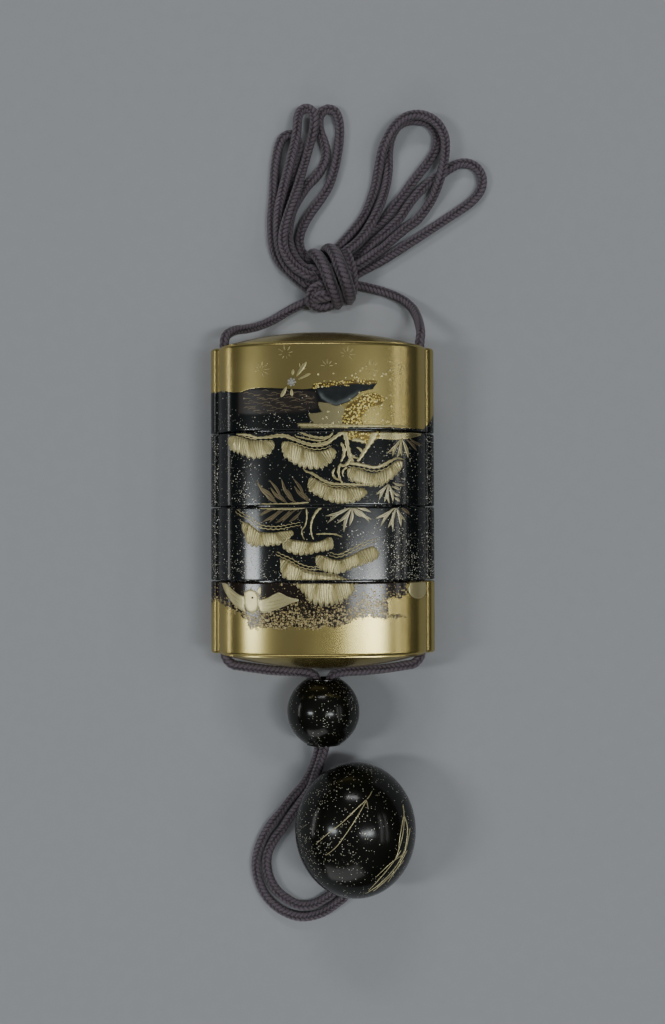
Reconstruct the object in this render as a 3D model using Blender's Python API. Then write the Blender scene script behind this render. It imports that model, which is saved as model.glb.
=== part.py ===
"""Inro case: four lacquered tiers threaded on a braided cord, with a bead, a round toggle and a bow.

The case lies on its back. Z is up through its front face, and Y runs along the case from the toggle,
at the low end, to the bow, at the high end. The lid faces the toggle and the base faces the bow.
"""

import math

import bmesh
import bpy
from mathutils import Vector

MM = 0.001

# The case in cross-section
BODY_HALF_WIDTH = 26.6 * MM
BODY_HALF_DEPTH = 12.5 * MM
BODY_SQUARENESS = 2.4
BACK_FLAT = 0.2 * MM
RIB_RADIUS = 3.4 * MM
RIB_INSET = 1.6 * MM
EDGE_ROUNDING = 0.35 * MM
END_ROUNDING = 0.7 * MM

# The tiers along the case
BASE_LENGTH = 21.8 * MM
TIER_LENGTH = 18.5 * MM
LID_LENGTH = 18.3 * MM
JOINT_GAP = 0.3 * MM
BASE_DOME = 4.2 * MM
LID_DOME = 4.0 * MM
DOME_SHOULDER = 0.3 * MM

# Inside the tiers
NECK_LENGTH = 5.0 * MM
NECK_WALL = 0.9 * MM
RIM_WALL = 1.0 * MM
CHANNEL_WALL = 0.8 * MM
FLOOR = 1.2 * MM
END_WALL = 1.8 * MM
FIT_GAP = 0.3 * MM

# The cord and its channels
CORD_RADIUS = 1.2 * MM
CHANNEL_GAP = 0.4 * MM
CHANNEL_INSET = 1.8 * MM

# The bead
BEAD_RADIUS = 9.25 * MM
BEAD_LENGTH = 16.8 * MM
BEAD_POLE = 9.3 * MM
BEAD_HOLE_RADIUS = 2.95 * MM
BEAD_MOUTH = 1.4 * MM
BEAD_FLAT = 0.15 * MM
BEAD_TO_LID = 3.0 * MM

# The toggle
TOGGLE_HALF_WIDTH = 15.2 * MM
TOGGLE_HALF_LENGTH = 16.8 * MM
TOGGLE_HALF_HEIGHT = 14.0 * MM
TOGGLE_FLAT = 0.2 * MM
TOGGLE_OFFSET = 8.0 * MM
TOGGLE_TO_BEAD = 3.9 * MM
TOGGLE_HOLE_RADIUS = 3.1 * MM
TOGGLE_HOLE_DEPTH = 8.0 * MM
TOGGLE_HOLE_AIM = (-0.155, -0.8, -0.62)
TOGGLE_HOLE_RUN = (0.177, 0.798, 0.576)
VENT_RADIUS = 1.7 * MM
VENT_AIM = (0.08, 0.47, -1.0)

# Lobes of the knot: centre and half sizes
KNOT_LOBES = (
    ((3.4, 89.6, 4.9), (4.1, 5.3, 4.6)),
    ((0.6, 82.9, 3.9), (3.4, 3.5, 3.6)),
    ((-0.7, 87.2, 4.6), (2.2, 2.4, 3.6)),
)
KNOT_LEAN = math.radians(42.0)

# Smoothness of the round forms
RIM_SHARE = 0.3
POLE_STEP = 0.35
FACE_STEPS = 16
RIB_STEPS = 6
NECK_STEPS = 28
CHANNEL_STEPS = 10
DOME_RINGS = (0.86, 0.56, 0.16)
BEAD_STEPS = 24
BEAD_RINGS = 8
TOGGLE_STEPS = 28
TOGGLE_RINGS = 13
HOLE_STEPS = 12
LOBE_STEPS = 14
LOBE_RINGS = 8
ROUTE_STEPS = 10
TUBE_LONGEST = 7.0 * MM
TUBE_TURN = math.radians(24.0)
TUBE_RESOLUTION = 2
CUTTER_MARGIN = 2.0 * MM

# Places along Y, worked out from the pieces in a row
CASE_LENGTH = BASE_LENGTH + 2 * TIER_LENGTH + LID_LENGTH
STRING_LENGTH = (BASE_DOME + CASE_LENGTH + LID_DOME + BEAD_TO_LID + BEAD_LENGTH
                 + TOGGLE_TO_BEAD + 2 * TOGGLE_HALF_LENGTH)
BASE_END = STRING_LENGTH / 2 - BASE_DOME
LID_END = BASE_END - CASE_LENGTH
BEAD_CENTRE = LID_END - LID_DOME - BEAD_TO_LID - BEAD_LENGTH / 2
TOGGLE_CENTRE = BEAD_CENTRE - BEAD_LENGTH / 2 - TOGGLE_TO_BEAD - TOGGLE_HALF_LENGTH
AXIS_HEIGHT = BODY_HALF_DEPTH - BACK_FLAT

# Widths worked out from the walls
RIB_CENTRE = BODY_HALF_WIDTH - RIB_INSET
CHANNEL_RADIUS = CORD_RADIUS + CHANNEL_GAP
CHANNEL_CENTRE = BODY_HALF_WIDTH - CHANNEL_INSET
SOCKET_HALF_WIDTH = CHANNEL_CENTRE - CHANNEL_RADIUS - CHANNEL_WALL
SOCKET_HALF_DEPTH = BODY_HALF_DEPTH - RIM_WALL
NECK_HALF_WIDTH = SOCKET_HALF_WIDTH - FIT_GAP
NECK_HALF_DEPTH = SOCKET_HALF_DEPTH - FIT_GAP
HOLLOW_HALF_WIDTH = NECK_HALF_WIDTH - NECK_WALL
HOLLOW_HALF_DEPTH = NECK_HALF_DEPTH - NECK_WALL
SOCKET_LENGTH = NECK_LENGTH + FIT_GAP

# Route of each cord, in millimetres
CORD_LEFT_ROUTE = (
    (8.2, -61.3, 7.9), (7.7, -63.9, 5.9), (7.1, -66.7, 4), (5.7, -74.2, 2), (3.5, -76.4, 1.4),
    (-0.9, -79.2, 1.25), (-6.2, -80.1, 1.25), (-11.7, -78, 1.25), (-15.8, -73.6, 1.25),
    (-17.8, -67.4, 1.25), (-17.2, -62.6, 1.25), (-14.5, -56.9, 1.25), (-11.4, -53.1, 1.25),
    (-8.2, -49, 1.5), (-5.2, -45.4, 2.4), (-3.1, -41.4, 4), (-1.8, -37.7, 6), (-1.2, -34.4, 7.8),
    (-0.9, -29.9, 8.2), (-1.15, -25.4, 8.5), (-1.35, -21.2, 9.1), (-1.5, -18.4, 9.15),
    (-2.5, -16.1, 9.35), (-5.2, -15.3, 9.8), (-9, -15, 10.4), (-13, -14.7, 11),
    (-17, -14.1, 11.6), (-20.4, -13.5, 12.1), (-23.1, -12.9, 12.3), (-24.7, -11, 12.3),
    (-24.8, -6, 12.3), (-24.8, 42, 12.3), (-24.8, 65.1, 12.3), (-24.9, 69.3, 12.3),
    (-24.4, 71, 11.4), (-22.6, 72.5, 9.4), (-19.6, 73.5, 6.3), (-16.6, 74.7, 3.6),
    (-13.2, 76.5, 1.8), (-8, 79.6, 1.35), (-3.6, 81.7, 2.4),
)
CORD_RIGHT_ROUTE = (
    (5.5, -61.7, 7.9), (5, -64.3, 5.9), (4.2, -67.1, 4), (3.2, -70.3, 2.5), (2.2, -73.7, 1.7),
    (-0.2, -75.6, 1.3), (-2.9, -76.9, 1.25), (-6.2, -77.2, 1.25), (-9.6, -75.6, 1.25),
    (-12.5, -73.1, 1.25), (-14.6, -69, 1.25), (-14.8, -64, 1.25), (-12.8, -59.7, 1.25),
    (-10.7, -56.9, 1.6), (-8.9, -54, 2.4), (-6.9, -51.2, 3.2), (-4.8, -48.2, 4.2),
    (-3, -45.2, 5.3), (-1.6, -40.9, 7.6), (-0.3, -36.7, 9.6), (0.4, -34, 10.4),
    (0.9, -29.9, 10), (1.15, -25.4, 9.7), (1.35, -21.2, 9.1), (1.5, -18.4, 9.15),
    (2.5, -16.1, 9.35), (5.2, -15.3, 9.8), (9, -15, 10.4), (15, -14.4, 11.3),
    (20.4, -13.5, 12.1), (23.1, -12.9, 12.3), (24.7, -11, 12.3), (24.8, -6, 12.3),
    (24.8, 42, 12.3), (24.8, 65.1, 12.3), (25, 69.3, 12.3), (25.3, 71.2, 11.5),
    (25.2, 73.6, 9.3), (24.7, 76.6, 6.2), (23.5, 79.5, 3.5), (20.8, 82.1, 1.6),
    (16, 84.2, 1.25), (11.5, 85.3, 1.8), (7.5, 86, 2.6),
)
LOOP_ROUTES = {
    "bow_left_a": (
        (-3.3, 84.6, 1.6), (-4.5, 85.6, 1.4), (-6, 87, 1.25), (-8.2, 89.1, 1.25),
        (-10.5, 91.4, 1.25), (-12.1, 94, 1.25), (-13, 97.1, 1.25), (-13.3, 100.4, 1.25),
        (-13.3, 103.9, 1.25), (-13, 107.4, 1.25), (-12.7, 110.8, 1.25), (-12.5, 114.6, 1.25),
        (-12.2, 118, 1.25), (-11.7, 121.1, 1.25), (-11.1, 123.5, 1.25), (-10.1, 125.3, 1.25),
        (-8.4, 126.1, 1.25), (-6.8, 125.3, 1.25), (-6.1, 123.6, 1.25), (-6.3, 121.8, 1.25),
        (-7.1, 119.9, 1.25), (-7.9, 116.7, 1.25), (-8.7, 113.2, 1.25), (-9.5, 109.7, 1.25),
        (-10.1, 106.3, 1.25), (-10.3, 102.8, 1.25), (-10.3, 99.3, 1.25), (-9.8, 96.2, 1.25),
        (-8.7, 93.6, 1.25), (-7, 91.2, 1.25), (-5.5, 89.6, 1.25), (-4, 88.2, 1.4),
    ),
    "bow_left_b": (
        (-4, 86, 4.1), (-6.1, 87.6, 4.05), (-8.5, 89.8, 3.95), (-10.2, 92.5, 3.75),
        (-11.2, 95.6, 3.6), (-11.6, 99, 3.55), (-11.6, 102.5, 3.55), (-11.3, 105.9, 3.65),
        (-10.6, 109.3, 3.7), (-9.7, 112.7, 3.8), (-8.7, 116.1, 3.9), (-7.8, 119.6, 3.95),
        (-7, 123, 3.95), (-6.5, 125.8, 3.95), (-6.4, 128, 3.6), (-6.2, 130.1, 3.2),
        (-5.5, 131.8, 2.9), (-4, 132.5, 3), (-2.5, 131.7, 3.3), (-1.9, 130, 3.6), (-1.9, 128, 3.7),
        (-2.3, 125.9, 3.1), (-3.1, 123.4, 1.9), (-4.1, 120.1, 1.4), (-5.1, 116.4, 2),
        (-6, 112.6, 3.5), (-7, 108.7, 5), (-8.2, 105, 5.9), (-9.3, 101.5, 6.15),
        (-10.1, 98.1, 6.1), (-10, 94.8, 6.15), (-8.9, 92, 6.25), (-7.1, 89.7, 6.5),
        (-4.8, 88, 6.8), (-3.5, 87.3, 6.8),
    ),
    "bow_left_c": (
        (-2.9, 89, 4.2), (-4.8, 90.1, 3.9), (-6.8, 92.2, 3.75), (-8.1, 94.8, 3.65),
        (-8.8, 97.8, 3.55), (-8.6, 101.1, 3.5), (-8, 104.4, 2.9), (-6.8, 107.5, 2),
        (-5.3, 110.2, 1.4), (-3.6, 112.6, 1.25), (-1.7, 114.6, 1.25), (-0.1, 116.8, 1.25),
        (1, 119.2, 1.25), (1.2, 121.7, 1.25), (0.6, 124.3, 1.25), (-0.3, 126.7, 1.25),
        (-0.7, 129, 1.25), (-0.5, 131, 1.25), (0.5, 132.4, 1.25), (2, 132.9, 1.25),
        (3.6, 132.2, 1.25), (4.5, 130.2, 1.25), (4.8, 127.3, 1.25), (4.6, 124.3, 1.25),
        (4.2, 121.1, 1.4), (3.6, 118.1, 1.4), (2.8, 115, 1.25), (1.8, 112.3, 1.25),
        (0.3, 109.7, 1.25), (-1.4, 107.3, 1.25), (-3.1, 105, 1.25), (-4.5, 102.6, 1.25),
        (-5.6, 100, 1.25), (-6, 97.2, 1.25), (-5.3, 94.5, 1.25), (-3.8, 92.4, 1.3),
        (-2.1, 91.1, 1.5),
    ),
    "bow_right_a": (
        (3.1, 94.5, 2), (4.9, 96.4, 1.5), (7.2, 99, 1.25), (9.5, 101.7, 1.25), (11.5, 104.7, 1.25),
        (12.9, 108.1, 1.25), (14, 111.5, 1.25), (14.7, 114.8, 1.5), (15.3, 117.9, 2.4),
        (15.9, 120.6, 3.4), (17, 123.4, 3.95), (18.5, 126.1, 4), (20.3, 128.3, 4),
        (22.6, 129.9, 3.95), (25.3, 130.4, 3.95), (27.8, 129.9, 3.95), (30, 128.6, 3.95),
        (31.6, 126.6, 3.95), (32.5, 124.1, 3.95), (32.6, 121.4, 3.95), (32.3, 118.5, 3.95),
        (31.7, 115.6, 3.95), (31, 113.1, 3.6), (30.1, 110.7, 2.3), (28.8, 108.1, 1.3),
        (27.1, 105.5, 1.25), (24.9, 102.9, 1.25), (22.5, 101.2, 1.25), (20.2, 99.3, 1.3),
        (18.2, 97.5, 1.5), (16.2, 95.6, 2), (13.9, 93.9, 3.05), (11.7, 92.2, 3.9), (8.6, 90.2, 4.6),
    ),
    "bow_right_b": (
        (5.6, 93.5, 4.5), (8.3, 95.7, 4.1), (10.6, 98, 3.9), (12.4, 100.7, 3.85),
        (14, 103.6, 3.8), (15.4, 106.9, 3), (16.5, 110.4, 1.8), (17.3, 113.9, 1.25),
        (17.7, 117.4, 1.25), (17.7, 120.7, 1.25), (18.1, 123.8, 1.25), (19, 126.6, 1.25),
        (20.7, 128.7, 1.25), (23.1, 129.8, 1.25), (25.7, 129.9, 1.25), (28.3, 129.2, 1.25),
        (30.1, 127.4, 1.25), (30.9, 125, 1.25), (30.5, 122.4, 1.25), (29.2, 119.9, 1.25),
        (27.4, 117.5, 1.25), (25.5, 115.1, 1.25), (23.6, 112.6, 1.25), (21.8, 110.1, 1.25),
        (19.9, 107.6, 1.25), (18.2, 105.3, 1.25), (16.5, 103.4, 1.25), (14.6, 101.7, 1.25),
        (12.6, 99.9, 1.25), (10.6, 98.1, 1.25), (8.7, 96.3, 1.3), (6.9, 94.6, 1.4), (5.4, 93.1, 1.6),
    ),
    "bow_right_c": (
        (7.7, 91.5, 1.5), (9.1, 92.9, 1.3), (10.7, 94.3, 1.25), (12.5, 96.1, 1.25),
        (14.4, 97.9, 1.25), (16.5, 99.6, 1.25), (18.5, 101.5, 1.25), (20.6, 103.7, 1.25),
        (22.6, 106.7, 1.25), (24.5, 109.2, 1.25), (26.7, 111.5, 1.25), (29.1, 113.5, 1.25),
        (31.7, 115.4, 1.25), (34.1, 117, 1.25), (36.6, 118.2, 1.25), (39.1, 118.2, 1.25),
        (41.2, 117, 1.25), (42.5, 114.8, 1.25), (42.5, 112.3, 1.25), (41.3, 109.8, 1.25),
        (39.1, 107.6, 1.25), (36.3, 105.6, 1.25), (33.1, 103.5, 1.25), (29.7, 101.3, 1.25),
        (26.4, 99.1, 1.25), (23.1, 97, 1.25), (19.7, 94.8, 1.25), (16.3, 92.7, 1.25),
        (13.4, 91.1, 1.3), (10.7, 89.7, 1.5), (8.6, 88.4, 1.9),
    ),
}


def clear_scene():
    for item in list(bpy.data.objects):
        bpy.data.objects.remove(item, do_unlink=True)


def make_material(name, colour, roughness, metallic):
    material = bpy.data.materials.new(name)
    material.use_nodes = True
    shader = material.node_tree.nodes["Principled BSDF"]
    shader.inputs["Base Color"].default_value = (*colour, 1.0)
    shader.inputs["Roughness"].default_value = roughness
    shader.inputs["Metallic"].default_value = metallic
    return material


def gold_lacquer(name):
    return make_material(name, (0.42, 0.34, 0.15), 0.32, 0.85)


def black_lacquer(name):
    return make_material(name, (0.02, 0.024, 0.022), 0.18, 0.0)


def braided_silk(name):
    return make_material(name, (0.16, 0.10, 0.12), 0.8, 0.0)


def new_object(name, mesh, material=None):
    item = bpy.data.objects.new(name, mesh)
    bpy.context.scene.collection.objects.link(item)
    if material:
        mesh.materials.append(material)
    return item


def mesh_from_rings(name, rings, closed_round=False):
    """Skin a stack of rings; closed_round joins the last ring to the first instead of capping."""
    shape = bmesh.new()
    loops = [[shape.verts.new(point) for point in ring] for ring in rings]
    count = len(loops[0])
    pairs = list(zip(loops, loops[1:]))
    if closed_round:
        pairs.append((loops[-1], loops[0]))
    for low, high in pairs:
        for index in range(count):
            following = (index + 1) % count
            shape.faces.new((low[index], low[following], high[following], high[index]))
    if not closed_round:
        shape.faces.new(loops[0])
        shape.faces.new(loops[-1])
    bmesh.ops.recalc_face_normals(shape, faces=shape.faces)
    mesh = bpy.data.meshes.new(name)
    shape.to_mesh(mesh)
    shape.free()
    return mesh


def smooth(item, angle=math.radians(35.0)):
    item.data.shade_smooth()
    item.data.set_sharp_from_angle(angle=angle)


def cut(item, cutter, operation="DIFFERENCE"):
    cutter.hide_render = True
    cutter.display_type = "WIRE"
    modifier = item.modifiers.new(cutter.name, "BOOLEAN")
    modifier.operation = operation
    modifier.solver = "EXACT"
    modifier.object = cutter


def signed_power(value, power):
    return math.copysign(abs(value) ** power, value)


def oval_point(half_width, half_depth, turn):
    """A point of the case's rounded lens section."""
    power = 2.0 / BODY_SQUARENESS
    across = half_width * signed_power(math.cos(turn), power)
    depth = half_depth * signed_power(math.sin(turn), power)
    return across, depth


def oval_ring(half_width, half_depth, along):
    """The plain section at a place along Y, with the back kept inside the resting flat."""
    ring = []
    for step in range(NECK_STEPS):
        across, depth = oval_point(half_width, half_depth, 2 * math.pi * step / NECK_STEPS)
        ring.append((across, along, AXIS_HEIGHT + max(depth, -AXIS_HEIGHT)))
    return ring


def crease_turn(half_width, half_depth, rib_radius):
    """Where the front of the case meets the rib, as a turn of the section."""
    low, high = 0.0, math.pi / 2
    for _ in range(48):
        middle = (low + high) / 2
        across, depth = oval_point(half_width, half_depth, middle)
        if math.hypot(across - RIB_CENTRE, depth) < rib_radius:
            low = middle
        else:
            high = middle
    return high


def ribbed_ring(inset, along):
    """The outer section with a rib down each side, drawn in by inset."""
    half_width = BODY_HALF_WIDTH - inset
    half_depth = BODY_HALF_DEPTH - inset
    rib_radius = RIB_RADIUS - inset
    start = crease_turn(half_width, half_depth, rib_radius)
    across, depth = oval_point(half_width, half_depth, start)
    rib_turn = math.atan2(depth, across - RIB_CENTRE)
    quarter = []
    for step in range(1, RIB_STEPS):
        turn = rib_turn - 2 * rib_turn * step / RIB_STEPS
        quarter.append((RIB_CENTRE + rib_radius * math.cos(turn), rib_radius * math.sin(turn)))
    face = []
    for step in range(FACE_STEPS + 1):
        face.append(oval_point(half_width, half_depth,
                               start + (math.pi - 2 * start) * step / FACE_STEPS))
    outline = face + [(-x, z) for x, z in quarter] + [(-x, -z) for x, z in face] + list(quarter[::-1])
    floor = -(AXIS_HEIGHT - inset)
    return [(x, along, AXIS_HEIGHT + max(z, floor)) for x, z in outline]


def rounded_block(name, high_end, low_end, high_rounding, low_rounding, material):
    """The outside of a tier between two places along Y, with its rims rounded."""
    rings = [ribbed_ring(high_rounding, high_end)]
    rings.append(ribbed_ring(high_rounding * RIM_SHARE, high_end - high_rounding * RIM_SHARE))
    rings.append(ribbed_ring(0.0, high_end - high_rounding))
    rings.append(ribbed_ring(0.0, low_end + low_rounding))
    rings.append(ribbed_ring(low_rounding * RIM_SHARE, low_end + low_rounding * RIM_SHARE))
    rings.append(ribbed_ring(low_rounding, low_end))
    return new_object(name, mesh_from_rings(name, rings), material)


def oval_block(name, half_width, half_depth, high_end, low_end):
    rings = [oval_ring(half_width, half_depth, high_end), oval_ring(half_width, half_depth, low_end)]
    return new_object(name, mesh_from_rings(name, rings))


def dome_height(rise, reach):
    """Height of the domed end at a share of the way from its middle to its edge."""
    return rise * (1.0 - reach ** 2)


def dome_block(name, half_width, half_depth, end, direction, rise, thinning=0.0, root=0.0):
    """A domed end over an oval section; thinning lowers it to make the hollow inside it."""
    rings = [oval_ring(half_width, half_depth, end - direction * root)]
    reach = half_width / BODY_HALF_WIDTH
    for share in (1.0,) + DOME_RINGS:
        height = dome_height(rise, min(1.0, reach * share)) - thinning
        rings.append(oval_ring(half_width * share, half_depth * share, end + direction * height))
    return new_object(name, mesh_from_rings(name, rings))


def channel_cutters(name, high_end, low_end):
    cutters = []
    for side, label in ((-1, "left"), (1, "right")):
        rings = []
        for along in (high_end, low_end):
            ring = []
            for step in range(CHANNEL_STEPS):
                turn = 2 * math.pi * (step + 0.5) / CHANNEL_STEPS
                ring.append((side * CHANNEL_CENTRE + CHANNEL_RADIUS * math.cos(turn), along,
                             AXIS_HEIGHT + CHANNEL_RADIUS * math.sin(turn)))
            rings.append(ring)
        cutters.append(new_object(f"{name}_{label}_channel", mesh_from_rings(name, rings)))
    return cutters


def add_neck(tier, low_end):
    root = low_end + FLOOR
    neck = oval_block(f"{tier.name}_neck", NECK_HALF_WIDTH, NECK_HALF_DEPTH, root, low_end - NECK_LENGTH)
    cut(tier, neck, "UNION")


def cut_socket(tier, high_end):
    mouth = high_end + CUTTER_MARGIN
    socket = oval_block(f"{tier.name}_socket", SOCKET_HALF_WIDTH, SOCKET_HALF_DEPTH, mouth,
                        high_end - SOCKET_LENGTH)
    cut(tier, socket)


def cut_channels(tier, high_end, low_end):
    reach = CUTTER_MARGIN + max(BASE_DOME, LID_DOME)
    for cutter in channel_cutters(tier.name, high_end + reach, low_end - reach):
        cut(tier, cutter)


def build_base(high_end, low_end):
    tier = rounded_block("base_case", high_end, low_end, END_ROUNDING, EDGE_ROUNDING,
                         gold_lacquer("base_lacquer"))
    cut(tier, dome_block("base_dome", BODY_HALF_WIDTH - END_ROUNDING - DOME_SHOULDER,
                         BODY_HALF_DEPTH - END_ROUNDING - DOME_SHOULDER, high_end, 1, BASE_DOME,
                         root=FLOOR), "UNION")
    add_neck(tier, low_end)
    hollow_root = high_end - low_end + NECK_LENGTH + CUTTER_MARGIN
    cut(tier, dome_block("base_hollow", HOLLOW_HALF_WIDTH, HOLLOW_HALF_DEPTH, high_end, 1, BASE_DOME,
                         thinning=END_WALL, root=hollow_root))
    cut_channels(tier, high_end, low_end)
    smooth(tier)


def build_middle(name, high_end, low_end, material):
    tier = rounded_block(name, high_end, low_end, EDGE_ROUNDING, EDGE_ROUNDING, material)
    add_neck(tier, low_end)
    cut_socket(tier, high_end)
    floor = high_end - SOCKET_LENGTH - FLOOR
    hollow = oval_block(f"{name}_hollow", HOLLOW_HALF_WIDTH, HOLLOW_HALF_DEPTH, floor,
                        low_end - NECK_LENGTH - CUTTER_MARGIN)
    cut(tier, hollow)
    cut_channels(tier, high_end, low_end)
    smooth(tier)


def build_lid(high_end, low_end):
    tier = rounded_block("lid", high_end, low_end, EDGE_ROUNDING, END_ROUNDING,
                         gold_lacquer("lid_lacquer"))
    cut(tier, dome_block("lid_dome", BODY_HALF_WIDTH - END_ROUNDING - DOME_SHOULDER,
                         BODY_HALF_DEPTH - END_ROUNDING - DOME_SHOULDER, low_end, -1, LID_DOME,
                         root=FLOOR), "UNION")
    cut_socket(tier, high_end)
    hollow_root = high_end - low_end - SOCKET_LENGTH + FIT_GAP
    cut(tier, dome_block("lid_hollow", HOLLOW_HALF_WIDTH, HOLLOW_HALF_DEPTH, low_end, -1, LID_DOME,
                         thinning=END_WALL, root=hollow_root))
    cut_channels(tier, high_end, low_end)
    smooth(tier)


def build_case():
    joint_1 = BASE_END - BASE_LENGTH
    joint_2 = joint_1 - TIER_LENGTH
    joint_3 = joint_2 - TIER_LENGTH
    half_gap = JOINT_GAP / 2
    build_base(BASE_END, joint_1 + half_gap)
    build_middle("lower_case", joint_1 - half_gap, joint_2 + half_gap, black_lacquer("lower_lacquer"))
    build_middle("upper_case", joint_2 - half_gap, joint_3 + half_gap, black_lacquer("upper_lacquer"))
    build_lid(joint_3 - half_gap, LID_END)


def bead_profile():
    """Radius and place along Y of the bead's outside, then back through its hole."""
    half = BEAD_LENGTH / 2
    rim_radius = BEAD_RADIUS * math.sqrt(1.0 - (half / BEAD_POLE) ** 2)
    mouth_radius = min(rim_radius, BEAD_HOLE_RADIUS + BEAD_MOUTH)
    rim_turn = math.asin(half / BEAD_POLE)
    profile = []
    for step in range(BEAD_RINGS + 1):
        turn = rim_turn - 2 * rim_turn * step / BEAD_RINGS
        radius = max(mouth_radius, BEAD_RADIUS * math.cos(turn))
        profile.append((radius, BEAD_POLE * math.sin(turn)))
    inner = half - BEAD_MOUTH
    slope = BEAD_MOUTH * RIM_SHARE
    profile.append((BEAD_HOLE_RADIUS + slope, -half + slope))
    profile.append((BEAD_HOLE_RADIUS, -inner))
    profile.append((BEAD_HOLE_RADIUS, inner))
    profile.append((BEAD_HOLE_RADIUS + slope, half - slope))
    return profile


def build_bead():
    height = BEAD_RADIUS - BEAD_FLAT
    rings = []
    for radius, along in bead_profile():
        ring = []
        for step in range(BEAD_STEPS):
            turn = 2 * math.pi * (step + 0.5) / BEAD_STEPS
            rise = max(radius * math.sin(turn), -height)
            ring.append((radius * math.cos(turn), BEAD_CENTRE + along, height + rise))
        rings.append(ring)
    bead = new_object("ojime_bead", mesh_from_rings("ojime_bead", rings, closed_round=True),
                      black_lacquer("bead_lacquer"))
    smooth(bead)


def ball_mesh(name, centre, half_sizes, steps, rings, floor=None, lean=0.0):
    """A stretched ball, turned by lean about Z and cut flat at the floor height."""
    stack = []
    for row in range(rings + 1):
        slant = math.pi * (row + POLE_STEP) / (rings + 2 * POLE_STEP)
        ring = []
        for step in range(steps):
            turn = 2 * math.pi * step / steps
            x = half_sizes[0] * math.sin(slant) * math.cos(turn)
            y = half_sizes[1] * math.sin(slant) * math.sin(turn)
            z = centre[2] + half_sizes[2] * math.cos(slant)
            if floor is not None:
                z = max(z, floor)
            ring.append((centre[0] + x * math.cos(lean) - y * math.sin(lean),
                         centre[1] + x * math.sin(lean) + y * math.cos(lean), z))
        stack.append(ring)
    return mesh_from_rings(name, stack)


def ball_surface(centre, half_sizes, aim):
    """The point of a stretched ball that lies from its centre in the direction aim."""
    scale = math.sqrt(sum((part / half) ** 2 for part, half in zip(aim, half_sizes)))
    return centre + Vector(aim) / scale


def drill(item, name, start, end, radius):
    """Cut a round hole between two points."""
    direction = (end - start).normalized()
    side = direction.cross(Vector((1.0, 0.0, 0.0))).normalized()
    other = direction.cross(side)
    rings = []
    for place in (start, end):
        ring = []
        for step in range(HOLE_STEPS):
            turn = 2 * math.pi * step / HOLE_STEPS
            ring.append(place + side * (radius * math.cos(turn)) + other * (radius * math.sin(turn)))
        rings.append(ring)
    cut(item, new_object(name, mesh_from_rings(name, rings)))


def build_toggle():
    half_sizes = (TOGGLE_HALF_WIDTH, TOGGLE_HALF_LENGTH, TOGGLE_HALF_HEIGHT)
    centre = Vector((TOGGLE_OFFSET, TOGGLE_CENTRE, TOGGLE_HALF_HEIGHT - TOGGLE_FLAT))
    mesh = ball_mesh("netsuke", centre, half_sizes, TOGGLE_STEPS, TOGGLE_RINGS, floor=0.0)
    toggle = new_object("netsuke", mesh, black_lacquer("netsuke_lacquer"))
    run = Vector(TOGGLE_HOLE_RUN).normalized()
    mouth = ball_surface(centre, half_sizes, TOGGLE_HOLE_AIM)
    bottom = mouth + run * TOGGLE_HOLE_DEPTH
    drill(toggle, "toggle_cord_hole", mouth - run * TOGGLE_HOLE_DEPTH, bottom, TOGGLE_HOLE_RADIUS)
    vent = ball_surface(centre, half_sizes, VENT_AIM)
    outward = (vent - bottom).normalized()
    drill(toggle, "toggle_vent", vent + outward * CUTTER_MARGIN * 2,
          bottom + outward * VENT_RADIUS, VENT_RADIUS)
    smooth(toggle)


def smooth_route(points):
    """A smooth curve through the route's points, as many short steps, in metres."""
    given = [Vector(point) * MM for point in points]
    given.insert(0, given[0] * 2 - given[1])
    given.append(given[-1] * 2 - given[-2])
    curve = []
    for before, start, end, after in zip(given, given[1:], given[2:], given[3:]):
        times = [0.0]
        for one, two in ((before, start), (start, end), (end, after)):
            times.append(times[-1] + math.sqrt((two - one).length))
        for step in range(ROUTE_STEPS):
            time = times[1] + (times[2] - times[1]) * step / ROUTE_STEPS
            curve.append(route_point((before, start, end, after), times, time))
    curve.append(given[-2])
    return curve


def route_point(knots, times, time):
    """The point of a smooth curve through four knots at a time between the middle two."""
    points = list(knots)
    for level in range(1, 4):
        blended = []
        for index in range(4 - level):
            low = times[index]
            high = times[index + level]
            if level == 3:
                low = times[1]
                high = times[2]
            share = (time - low) / (high - low)
            blended.append(points[index] * (1 - share) + points[index + 1] * share)
        points = blended
    return points[0]


def tube_points(points):
    """Points along the curve, close together where it bends and further apart where it is straight."""
    curve = smooth_route(points)
    kept = [curve[0]]
    last_direction = (curve[1] - curve[0]).normalized()
    for index in range(1, len(curve) - 1):
        direction = (curve[index + 1] - curve[index]).normalized()
        turned = direction.angle(last_direction, 0.0)
        travelled = (curve[index] - kept[-1]).length
        if turned > TUBE_TURN or travelled > TUBE_LONGEST:
            if travelled > CORD_RADIUS:
                kept.append(curve[index])
                last_direction = direction
    if (curve[-1] - kept[-1]).length < CORD_RADIUS:
        kept.pop()
    kept.append(curve[-1])
    return kept


def build_cord(name, points):
    curve = bpy.data.curves.new(name, "CURVE")
    curve.dimensions = "3D"
    curve.bevel_depth = CORD_RADIUS
    curve.bevel_resolution = TUBE_RESOLUTION
    curve.use_fill_caps = True
    path = tube_points(points)
    spline = curve.splines.new("POLY")
    spline.points.add(len(path) - 1)
    for target, place in zip(spline.points, path):
        target.co = (*place, 1.0)
    item = bpy.data.objects.new(name, curve)
    bpy.context.scene.collection.objects.link(item)
    curve.materials.append(braided_silk(f"{name}_silk"))


def build_cords():
    build_cord("cord_left", CORD_LEFT_ROUTE)
    build_cord("cord_right", CORD_RIGHT_ROUTE)
    for name, points in LOOP_ROUTES.items():
        build_cord(name, points)


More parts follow.
